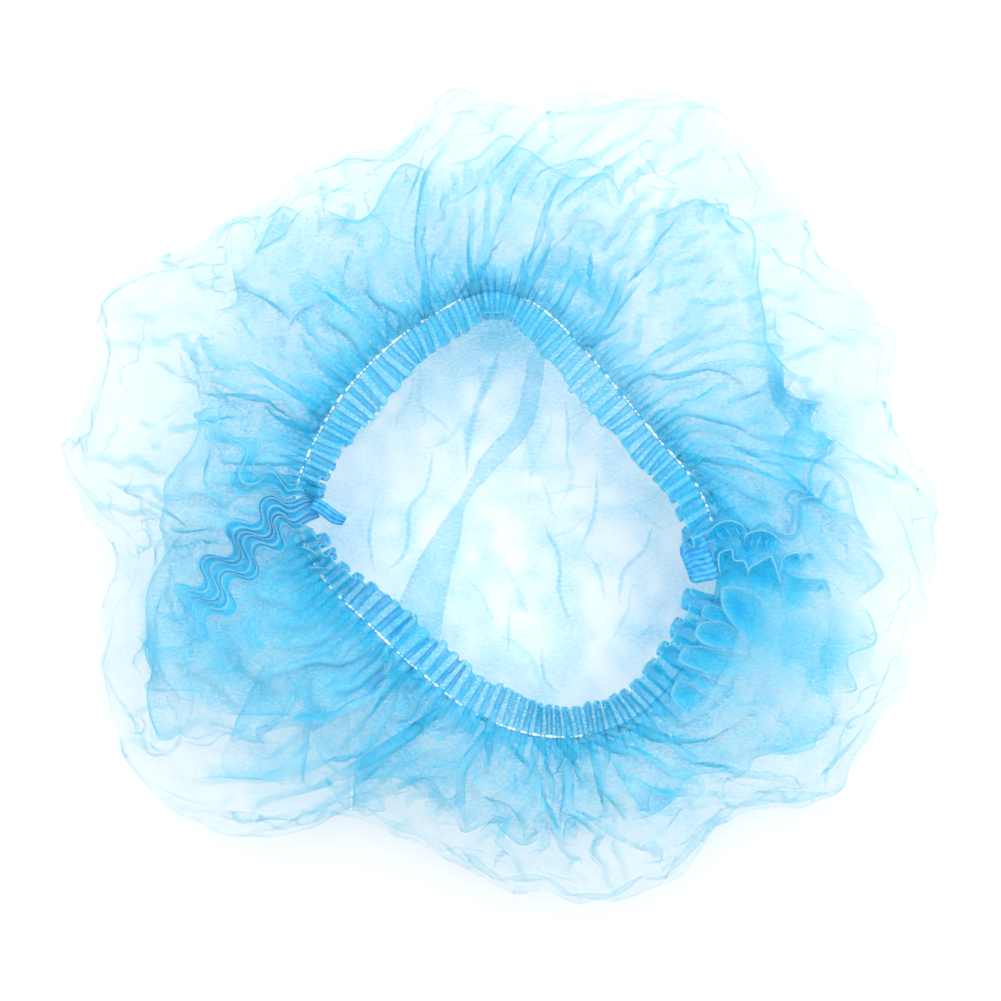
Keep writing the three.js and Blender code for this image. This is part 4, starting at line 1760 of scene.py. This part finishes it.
CROWN_PETALS = (
    Petal(((-120, -48), (-108, -48), (-106, -42), (-94, -53), (-90, -64), (-97, -78), (-108, -76),
           (-118, -68), (-123, -58)), 1.0, 0.0),
    Petal(((-90, -63), (-83, -66), (-80, -74), (-84, -84), (-94, -90), (-104, -94), (-97, -78)), 0.7, 0.15),
    Petal(((-136, -59), (-123, -58), (-118, -74), (-120, -87), (-130, -94), (-136, -84), (-134, -68)),
           0.35, 0.2),
    Petal(((-87, -34), (-70, -29), (-59, -43), (-66, -54), (-87, -58), (-90, -46)), 0.7, 0.05),
    Petal(((-74, -83), (-60, -80), (-58, -94), (-59, -121), (-66, -112), (-76, -110)), 0.3, 0.2),
    Petal(((-57, -94), (-48, -91), (-42, -108), (-48, -122), (-56, -121)), 0.5, 0.1),
    Petal(((-99, -87), (-87, -94), (-76, -95), (-76, -110), (-87, -108), (-102, -109), (-108, -101)),
           0.4, 0.1),
    Petal(((102, 59), (107, 50), (108, 41), (112.5, 38), (110, 27), (105, 34), (102, 43), (101, 50)),
           1.3, 0.1),
    Petal(((112.5, 38), (121, 36), (119, 30), (119.5, 26), (110.5, 15), (108, 22), (110.5, 27)), 0.9, 0.1),
    Petal(((26, -98), (41, -98), (47, -110), (36, -118), (24, -112)), 0.5, 0.15),
    Petal(((57, -118), (60, -108), (72, -104), (78, -112), (66, -122)), 0.3, 0.15),
    Petal(((-36, -104), (-24, -96), (-8, -100), (-14, -112), (-27, -107)), 0.6, 0.1),
    Petal(((94, -44), (112, -40), (134, -44), (144, -58), (134, -72), (112, -76), (96, -64)), 1.3, 0.05),
    Petal(((96, 42), (122, 42), (142, 32), (136, 16), (114, -6), (98, -4), (94, 20)), 0.9, 0.0),
    Petal(((2, 90), (18, 96), (34, 92), (52, 74), (44, 68), (26, 80), (8, 84)), 1.8, 0.0),
)


def flounce_ruffles(crown: Crown, count: int = 30, seed: int = 65) -> tuple[Frill, ...]:
    """Short ruffles along the edge of the bunched cloth, each falling inwards from its fold, which carries a
    painted highlight.

    Args:
        crown: the crown that they lie on.
        count: how many there are.
        seed: seed of their places and sizes.

    Returns:
        The ruffles.
    """
    rng = np.random.default_rng(seed)
    made = []
    for number in range(count):
        points = int(rng.integers(3, 7))
        degrees = (number + rng.uniform(0.0, 0.5)) * TURN / count + np.cumsum(rng.uniform(1.6, 4.6, points))
        radius = crown.flounce(degrees) + 2.6 * rng.standard_normal(points)
        path = tuple((float(x), float(y)) for x, y in polar(degrees, radius))
        made.append(Frill(path, rng.uniform(1.0, 2.0), rng.uniform(7.0, 15.0), rng.uniform(0.06, 0.2)))
    return tuple(made)


LEFT_FANS = (
    Fan(((-70, -3.8), (-83.5, -7), (-92, -13.5), (-99.5, -22), (-107.5, -31), (-114.5, -40), (-126, -53)),
        folds=5, tight=9, opened=18, depth_near=1.3, depth_far=1.4,
        sway=66, wave=22, plies_near=8.0, plies_far=3.6),
    Fan(((-72, 0.5), (-82, 5), (-92, 5), (-99, 14), (-108, 34)),
        folds=2, tight=6, opened=10, depth_near=1.3, depth_far=1.3,
        sway=60, wave=26, plies_near=4.2, plies_far=1.2),
)
LEFT_FRILLS = (
    Frill(((-74.5, 1), (-71, -0.5), (-69, 2), (-70.5, 5), (-74.5, 8), (-78, 8)), 6.0, 4.0),
    Frill(((-73, -18), (-70.5, -16), (-71.5, -13), (-74.5, -11), (-79.5, -10)), 6.0, 5.0),
    Frill(((-70, -26.5), (-69, -23.5), (-71.5, -21), (-76, -19), (-79.5, -20)), 6.0, 5.0),
    Frill(((-65, -29.5), (-67, -27.5), (-71.5, -27), (-76, -28.5)), 5.0, 4.0),
)
BUNCH_TOP = 44.0
RIGHT_FRILLS = (
    Frill(((93, -16), (96, -11.5), (100, -9.5), (103.5, -11.5), (106.5, -14), (110, -14.5), (112, -13),
           (112.5, -6.5), (113.5, -1.5), (118, 0), (121, -0.5), (123, 4), (127, 7)), 5.0, -3.0, 0.7),
    Frill(((106.5, -13), (109, -11.5), (110, -6.5), (107.5, -2), (108.5, 1.5), (112, 3), (116.5, 1.5),
           (117, 9), (119.5, 14), (125.5, 18), (128, 22)), 4.5, -2.5, 0.7),
    Frill(((77.4, -18.3), (78.5, -13.7), (82.6, -10.2), (87.8, -9.2), (92.4, -11.5), (93.7, -15)),
           3.5, -3.5, 1.3, BUNCH_TOP),
    Frill(((80.7, -11.8), (82.6, -15), (85.9, -18.3)), 3.5, 2.2, 1.3, BUNCH_TOP),
    Frill(((85, -9.8), (85.9, -13.1), (88.5, -16.3)), 3.5, 2.2, 1.3, BUNCH_TOP),
    Frill(((89.4, -9.8), (89.6, -13.1), (92.4, -17)), 3.5, 2.2, 1.3, BUNCH_TOP),
    Frill(((92.4, -19.6), (92.8, -15), (96.7, -13.1), (101.5, -13.3), (105.4, -15.9), (107.3, -18.9)),
           3.5, -3.5, 1.3, BUNCH_TOP),
    Frill(((96.7, -13.7), (95, -17.6), (94.3, -22.2)), 3.5, 2.2, 1.3, BUNCH_TOP),
    Frill(((99.8, -13.3), (97.6, -17.6), (98.5, -21.5)), 3.5, 2.2, 1.3, BUNCH_TOP),
    Frill(((103.2, -14.4), (100.6, -18.3), (102.4, -21.5)), 3.5, 2.2, 1.3, BUNCH_TOP),
    Frill(((83.9, -32.6), (82.6, -26.7), (83, -21.5), (87.8, -20.2), (88.7, -24.1), (93, -25.2),
           (94.3, -32.6)), 3.5, -3.5, 1.3, BUNCH_TOP),
    Frill(((94.3, -32.6), (94.1, -27.6), (98.2, -24.8), (102.4, -22.8), (104.1, -25.4), (106, -31.3),
           (106.7, -36.5)), 3.5, -4.5, 1.5, BUNCH_TOP),
    Frill(((106.7, -31.3), (106.9, -24.1), (110.2, -21.9), (113.6, -21.9), (113.8, -28)),
           3.0, -3.0, 1.0, BUNCH_TOP),
    Frill(((113.8, -28), (114.9, -22.4), (118.4, -21.6), (119, -26.7)), 3.0, -2.5, 0.8, BUNCH_TOP),
    Frill(((107.3, -28), (113.8, -30.6), (122.3, -31.5), (124.5, -33.2), (125.8, -38.4)),
           3.0, -6.0, 0.8, BUNCH_TOP),
)
RIGHT_PETALS = (
    Petal(((79, -12), (92, -8), (108, -12), (124, -20), (130, -36), (116, -50), (104, -64), (92, -56),
           (84, -42), (79, -28)), 2.0, 0.0),
    Petal(((82, -16), (94, -12), (106, -16), (108, -26), (98, -36), (84, -36), (79, -26)), 2.2, 0.0),
    Petal(((77.5, -17), (84, -19), (90, -20.5), (88, -23), (83, -28), (80.5, -24)), 5.5, 0.15),
    Petal(((95, -2), (98, 3), (107, 3), (107.5, -2), (108, -7), (106, -12), (100, -9.5), (94, -11),
           (91, -9)), 1.6, 0.1),
    Petal(((112.5, -2.5), (119, -2.5), (122, -7), (116, -13), (112.5, -12)), 1.4, 0.1),
    Petal(((107.5, 14), (116.5, 14), (116.5, 3), (109, 2), (107, 7)), 1.2, 0.1),
    Petal(((77.5, -16.5), (79.5, -12), (85, -9.5), (91, -11), (93, -13.5), (88, -16.5), (84, -18),
           (80, -18.5)), 6.1, 0.15),
    Petal(((91, -22), (92, -16.5), (96.5, -15), (98, -19), (95, -23.5)), 5.8, 0.1),
    Petal(((98.5, -20.5), (97.5, -13.5), (101, -13.5), (105.5, -16.5), (107.5, -20.5), (102, -22)),
           6.1, 0.15),
    Petal(((81, -22), (83, -19.5), (88.5, -20.5), (89.5, -26), (87, -27), (81, -27.5)), 6.4, 0.1),
    Petal(((81.5, -29), (88, -27), (93.5, -27.5), (93, -33), (88, -33), (84, -34)), 6.4, 0.1),
    Petal(((94.5, -27.5), (98, -25), (107, -22), (107.5, -29), (106, -33), (107, -39), (102, -41.5),
           (98.5, -37.5), (94.5, -33)), 6.4, 0.1),
    Petal(((107.5, -22), (117, -21.5), (118.5, -25), (113, -29), (109, -28)), 4.1, 0.1),
    Petal(((107, -28), (112.5, -29), (123.5, -32), (125, -34.5), (119, -40), (112.5, -43.5), (107, -44)),
           3.4, 0.1),
    Petal(((84, -34.5), (88, -34), (93.5, -36), (97.5, -38.5), (101, -45), (102, -52.5), (99, -56),
           (94.5, -54.5), (88, -48.5), (84, -41.5)), 6.4, 0.7),
    Petal(((73.5, -52), (75.5, -48.5), (81, -47.5), (86, -48.5), (91, -53.5), (94.5, -59), (88, -58),
           (81, -57.5), (76, -55.5)), 5.2, 0.8),
    Petal(((67, -62.5), (69, -58), (74, -57), (85, -59), (97.5, -62), (102, -64), (95, -68), (85, -68.5),
           (75.5, -66.5)), 3.8, 0.65),
    Petal(((67, -67), (75.5, -68), (85, -72), (92, -73), (82, -77), (74, -72)), 3.2, 0.2),
    Petal(((64.5, -75.5), (67, -70), (72, -71.5), (77, -75.5), (82.5, -78.5), (79, -83), (72.5, -83),
           (68, -80.5)), 4.6, 0.75),
    Petal(((76, -45), (77.5, -41.5), (82.5, -42), (87.5, -47), (91, -52), (85, -48), (79.5, -47)),
           4.6, 0.7),
    Petal(((70, -48.5), (73, -46.5), (77, -48.5), (74, -52)), 4.1, 0.7),
    Petal(((64.5, -53.5), (67, -52), (71.5, -54.5), (73, -57.5), (68.5, -57.5)), 4.1, 0.7),
    Petal(((59.5, -58), (61.5, -56.5), (66, -59.5), (68, -63), (65, -64), (61.5, -61.5)), 4.1, 0.7),
    Petal(((56, -64), (58, -61.5), (61.5, -65), (64.5, -69.5), (66, -72), (61.5, -70), (57.5, -67)),
           4.1, 0.7),
)


@dataclass(frozen=True)
class SheerFinish:
    """Sheer non-woven cloth: blue fibres that cover more of the view where more layers lie together, turning
    a darker blue as painted shade where they lie thickest, and pale as a painted highlight on crests and
    steep folds.
    """

    name: str = "nonwoven_sheer"
    # The first colour is the fibres' own blue; the second is a painted shade for thick stacks of cloth; the
    # third is the colour of the painted highlight on crests and steep folds.
    fibre: Colour = (0.06, 0.72, 0.98, 1.0)
    shade_blue: Colour = (0.028, 0.5, 0.94, 1.0)
    edge: Colour = (0.45, 0.87, 1.0, 1.0)
    shade_from: float = 4.0
    shade_to: float = 11.0
    cover: float = 0.15
    highlight_cover: float = 0.75
    through: float = 0.4
    blotch_scale: float = 1100.0
    streaks: tuple[float, float, float] = (0.55, 1.0, 1.0)

    def material(self) -> Material:
        """Builds the finish's nodes.

        Returns:
            The material.
        """
        made = bpy.data.materials.new(self.name)
        made.use_nodes = True
        tree = made.node_tree
        tree.nodes.clear()
        node, link = tree.nodes.new, tree.links.new
        place = node("ShaderNodeTexCoord")
        blotch = node("ShaderNodeTexNoise")
        set_inputs(blotch, {"Scale": self.blotch_scale, "Detail": 0.0})
        streaks = node("ShaderNodeMapping")
        streaks.inputs["Scale"].default_value = self.streaks
        link(place.outputs["Object"], streaks.inputs["Vector"])
        link(streaks.outputs["Vector"], blotch.inputs["Vector"])
        fibres = node("ShaderNodeMapRange")
        thin, close = -0.6 * self.cover, -1.4 * self.cover
        set_inputs(fibres, {"From Min": 0.3, "From Max": 0.7, "To Min": thin, "To Max": close})
        link(blotch.outputs["Fac"], fibres.inputs["Value"])
        plies_and_shade, crest = node("ShaderNodeAttribute"), node("ShaderNodeAttribute")
        plies_and_shade.attribute_name, crest.attribute_name = "plies_and_shade", "crest"
        layers = self._math(tree, "MULTIPLY", fibres.outputs["Result"], plies_and_shade.outputs["Fac"])
        clear_share = self._math(tree, "EXPONENT", layers)
        cover = self._math(tree, "SUBTRACT", 1.0, clear_share)
        # Painted highlight: the crest mark adds cover here.
        dense = self._math(tree, "MULTIPLY_ADD", crest.outputs["Fac"], self.highlight_cover, cover)
        dense.node.use_clamp = True
        # Painted shade: the colour turns to the darker blue as the layers pile up.
        depth = node("ShaderNodeMapRange")
        set_inputs(depth, {"From Min": self.shade_from, "From Max": self.shade_to})
        link(plies_and_shade.outputs["Fac"], depth.inputs["Value"])
        shade = node("ShaderNodeMix")
        shade.data_type = "RGBA"
        shade.inputs[6].default_value = self.fibre
        shade.inputs[7].default_value = self.shade_blue
        link(depth.outputs["Result"], shade.inputs["Factor"])
        # Painted highlight: the crest mark mixes in the pale edge colour.
        highlighted = node("ShaderNodeMix")
        highlighted.data_type = "RGBA"
        highlighted.inputs[7].default_value = self.edge
        link(shade.outputs[2], highlighted.inputs[6])
        link(crest.outputs["Fac"], highlighted.inputs["Factor"])
        body = node("ShaderNodeBsdfDiffuse")
        link(highlighted.outputs[2], body.inputs["Color"])
        glow = node("ShaderNodeBsdfTranslucent")
        link(highlighted.outputs[2], glow.inputs["Color"])
        cloth = node("ShaderNodeMixShader")
        cloth.inputs["Fac"].default_value = self.through
        link(body.outputs["BSDF"], cloth.inputs[1])
        link(glow.outputs["BSDF"], cloth.inputs[2])
        clear = node("ShaderNodeBsdfTransparent")
        sheer = node("ShaderNodeMixShader")
        link(dense, sheer.inputs["Fac"])
        link(clear.outputs["BSDF"], sheer.inputs[1])
        link(cloth.outputs["Shader"], sheer.inputs[2])
        out = node("ShaderNodeOutputMaterial")
        link(sheer.outputs["Shader"], out.inputs["Surface"])
        return made

    @staticmethod
    def _math(tree: NodeTree, operation: str, *values: object) -> NodeSocket:
        """Adds a maths node.

        Args:
            tree: the material's tree.
            operation: what the node does.
            values: its inputs, sockets or numbers.

        Returns:
            The node's result.
        """
        node = tree.nodes.new("ShaderNodeMath")
        node.operation = operation
        for socket, value in zip(node.inputs, values):
            if isinstance(value, NodeSocket):
                tree.links.new(value, socket)
            else:
                socket.default_value = value
        return node.outputs["Value"]


@dataclass(frozen=True)
class PlainFinish:
    """A solid finish whose colour and surface vary a little: the pressed welds and the white thread."""

    name: str
    low: Colour
    high: Colour
    scale: float
    roughness: float
    bump: float = 0.3

    def material(self) -> Material:
        """Builds the finish's nodes.

        Returns:
            The material.
        """
        made = bpy.data.materials.new(self.name)
        made.use_nodes = True
        tree = made.node_tree
        node, link = tree.nodes.new, tree.links.new
        body = tree.nodes["Principled BSDF"]
        body.inputs["Roughness"].default_value = self.roughness
        place = node("ShaderNodeTexCoord")
        mottle = node("ShaderNodeTexNoise")
        set_inputs(mottle, {"Scale": self.scale, "Detail": 3.0})
        link(place.outputs["Object"], mottle.inputs["Vector"])
        ramp = node("ShaderNodeValToRGB")
        for stop, position, colour in zip(ramp.color_ramp.elements, (0.3, 0.7), (self.low, self.high)):
            stop.position = position
            stop.color = colour
        link(mottle.outputs["Fac"], ramp.inputs["Fac"])
        link(ramp.outputs["Color"], body.inputs["Base Color"])
        relief = node("ShaderNodeBump")
        set_inputs(relief, {"Strength": self.bump, "Distance": 0.0003})
        link(mottle.outputs["Fac"], relief.inputs["Height"])
        link(relief.outputs["Normal"], body.inputs["Normal"])
        return made


WELDED = PlainFinish("nonwoven_welded", (0.02, 0.36, 0.84, 1.0), (0.1, 0.62, 0.95, 1.0), 450.0, 0.6)
WHITE_THREAD = PlainFinish("elastic_white", (0.85, 0.93, 0.97, 1.0), (1.0, 1.0, 1.0, 1.0), 900.0, 0.7)
COVERED_THREAD = PlainFinish("elastic_covered", (0.2, 0.72, 0.94, 1.0), (0.4, 0.85, 1.0, 1.0), 900.0, 0.7)


@dataclass
class Studio:
    """The pale floor, the soft light and the camera straight above."""

    lens: float = 150.0
    mm_per_pixel: float = 0.39
    pixels: float = 1001.0
    aim: tuple[float, float] = (-0.39, -1.56)
    focus_height: float = 10.0
    key_from: tuple[float, float, float] = (0.15, 0.45, 0.88)
    fill: float = 0.39
    key: float = 2.0
    bounces: int = 5
    clear_bounces: int = 32

    def build(self) -> Object:
        """Makes the stage.

        Returns:
            The floor.
        """
        scene = bpy.context.scene
        scene.view_settings.view_transform = "Standard"
        scene.cycles.transparent_max_bounces = self.clear_bounces
        scene.cycles.max_bounces = self.bounces
        scene.cycles.diffuse_bounces = self.bounces
        self._camera(scene)
        self._light(scene)
        return self._floor()

    def _camera(self, scene: Scene) -> None:
        """Puts the camera straight above, at the photograph's scale.

        Args:
            scene: the scene that the camera belongs to.
        """
        data = bpy.data.cameras.new("camera")
        data.lens = self.lens
        camera = bpy.data.objects.new("camera", data)
        distance = self.pixels * self.mm_per_pixel * MM * self.lens / data.sensor_width
        camera.location = (self.aim[0] * MM, self.aim[1] * MM, distance + self.focus_height * MM)
        data.clip_end = 20.0
        scene.collection.objects.link(camera)
        scene.camera = camera

    def _light(self, scene: Scene) -> None:
        """Lights the scene with a white tent, brighter on the side that the soft key comes from.

        Args:
            scene: the scene to light.
        """
        world = bpy.data.worlds.new("light_tent")
        world.use_nodes = True
        world.cycles.sampling_method = "NONE"
        tree = world.node_tree
        way = tree.nodes.new("ShaderNodeTexCoord")
        facing = tree.nodes.new("ShaderNodeVectorMath")
        facing.operation = "DOT_PRODUCT"
        facing.inputs[1].default_value = self.key_from
        glow = tree.nodes.new("ShaderNodeMapRange")
        glow.interpolation_type = "SMOOTHSTEP"
        set_inputs(glow, {"From Min": 0.3, "From Max": 1.0, "To Min": self.fill, "To Max": self.key})
        tent = tree.nodes["Background"]
        tent.inputs["Color"].default_value = (1.0, 1.0, 1.0, 1.0)
        tree.links.new(way.outputs["Generated"], facing.inputs[0])
        tree.links.new(facing.outputs["Value"], glow.inputs["Value"])
        tree.links.new(glow.outputs["Result"], tent.inputs["Strength"])
        scene.world = world

    @staticmethod
    def _floor() -> Object:
        """Makes the floor.

        Returns:
            The floor.
        """
        mesh = bpy.data.meshes.new("floor")
        half = 3.0
        corners = [(-half, -half, 0), (half, -half, 0), (half, half, 0), (-half, half, 0)]
        mesh.from_pydata(corners, [], [(0, 1, 2, 3)])
        floor = placed("floor", mesh)
        made = bpy.data.materials.new("floor_white")
        made.use_nodes = True
        body = made.node_tree.nodes["Principled BSDF"]
        set_inputs(body, {"Base Color": (0.97, 0.97, 0.97, 1.0), "Roughness": 0.9})
        mesh.materials.append(made)
        return floor


def main() -> None:
    """Builds the stage and each part of the cap."""
    logging.basicConfig(level=logging.INFO, format="%(name)s: %(message)s")
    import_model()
    Studio().build()
    cloth = SheerFinish().material()
    stacked, white, veiled = (finish.material() for finish in (WELDED, WHITE_THREAD, COVERED_THREAD))
    gathers = Gathers()
    cloth_made = Crown(gathers)
    crown = cloth_made.build()
    settle_piece(crown, cloth, Slot.CLOTH, "crown")
    trim = []
    for creases in (BaseCreases(cloth_made).build(), CrownCreases(cloth_made).build()):
        settle_piece(creases, cloth, Slot.CLOTH)
        trim.append(creases)
    ground = HeightMap(cloth_made.top.reshape(-1, 3))
    spans = {
        "lower": (LEFT_END + HEM_GAP, RIGHT_END - HEM_GAP),
        "upper": (RIGHT_END + WIDE_HEM_GAP, LEFT_END + TURN - HEM_GAP),
    }
    for side, (start, end) in spans.items():
        hem = Hem(gathers, ground, f"hem_cloth_{side}", start, end).build()
        settle_piece(hem, cloth, Slot.CLOTH, f"hem_{side}")
        elastic = Elastic(gathers, side, start, end)
        thread = elastic.build_thread()
        settle_piece(thread, veiled, Slot.ELASTIC, f"elastic_{side}")
        stitches = elastic.build_stitches(white)
        settle_piece(stitches, None, Slot.ELASTIC)
        trim += [hem, thread, stitches]
    ends = (("left", LEFT_FANS, LEFT_FRILLS, ()), ("right", (), RIGHT_FRILLS, RIGHT_PETALS))
    for side, fans, frills, petals in ends:
        pleats = LaidFolds(
            f"end_pleats_cloth_{side}", fans, frills, petals, ground,
            least=gathers.height + 5.0, open_end=0.95,
        ).build()
        settle_piece(pleats, cloth, Slot.CLOTH, f"end_pleats_{side}")
        trim.append(pleats)
    fold_edges = CROWN_FOLDS + flounce_ruffles(cloth_made)
    folds = LaidFolds("crown_folds", (), fold_edges, CROWN_PETALS, ground).build()
    settle_piece(folds, cloth, Slot.CLOTH)
    trim.append(folds)
    tabs = (
        WeldTab("weld_tab_left", (-72.3, -2.5), turn=-30.0, middle=45.0,
                run=14.0, stack=5.0, height=8.0, ribs=3),
        WeldTab("weld_tab_right", (80.5, -22.5), turn=200.0, middle=45.0,
                run=11.0, stack=17.0, height=6.0, ribs=8),
    )
    for tab, side in zip(tabs, ("left", "right")):
        weld = tab.build()
        settle_piece(weld, stacked, Slot.WELD, f"weld_{side}")
        trim.append(weld)


if __name__ == "__main__":
    main()
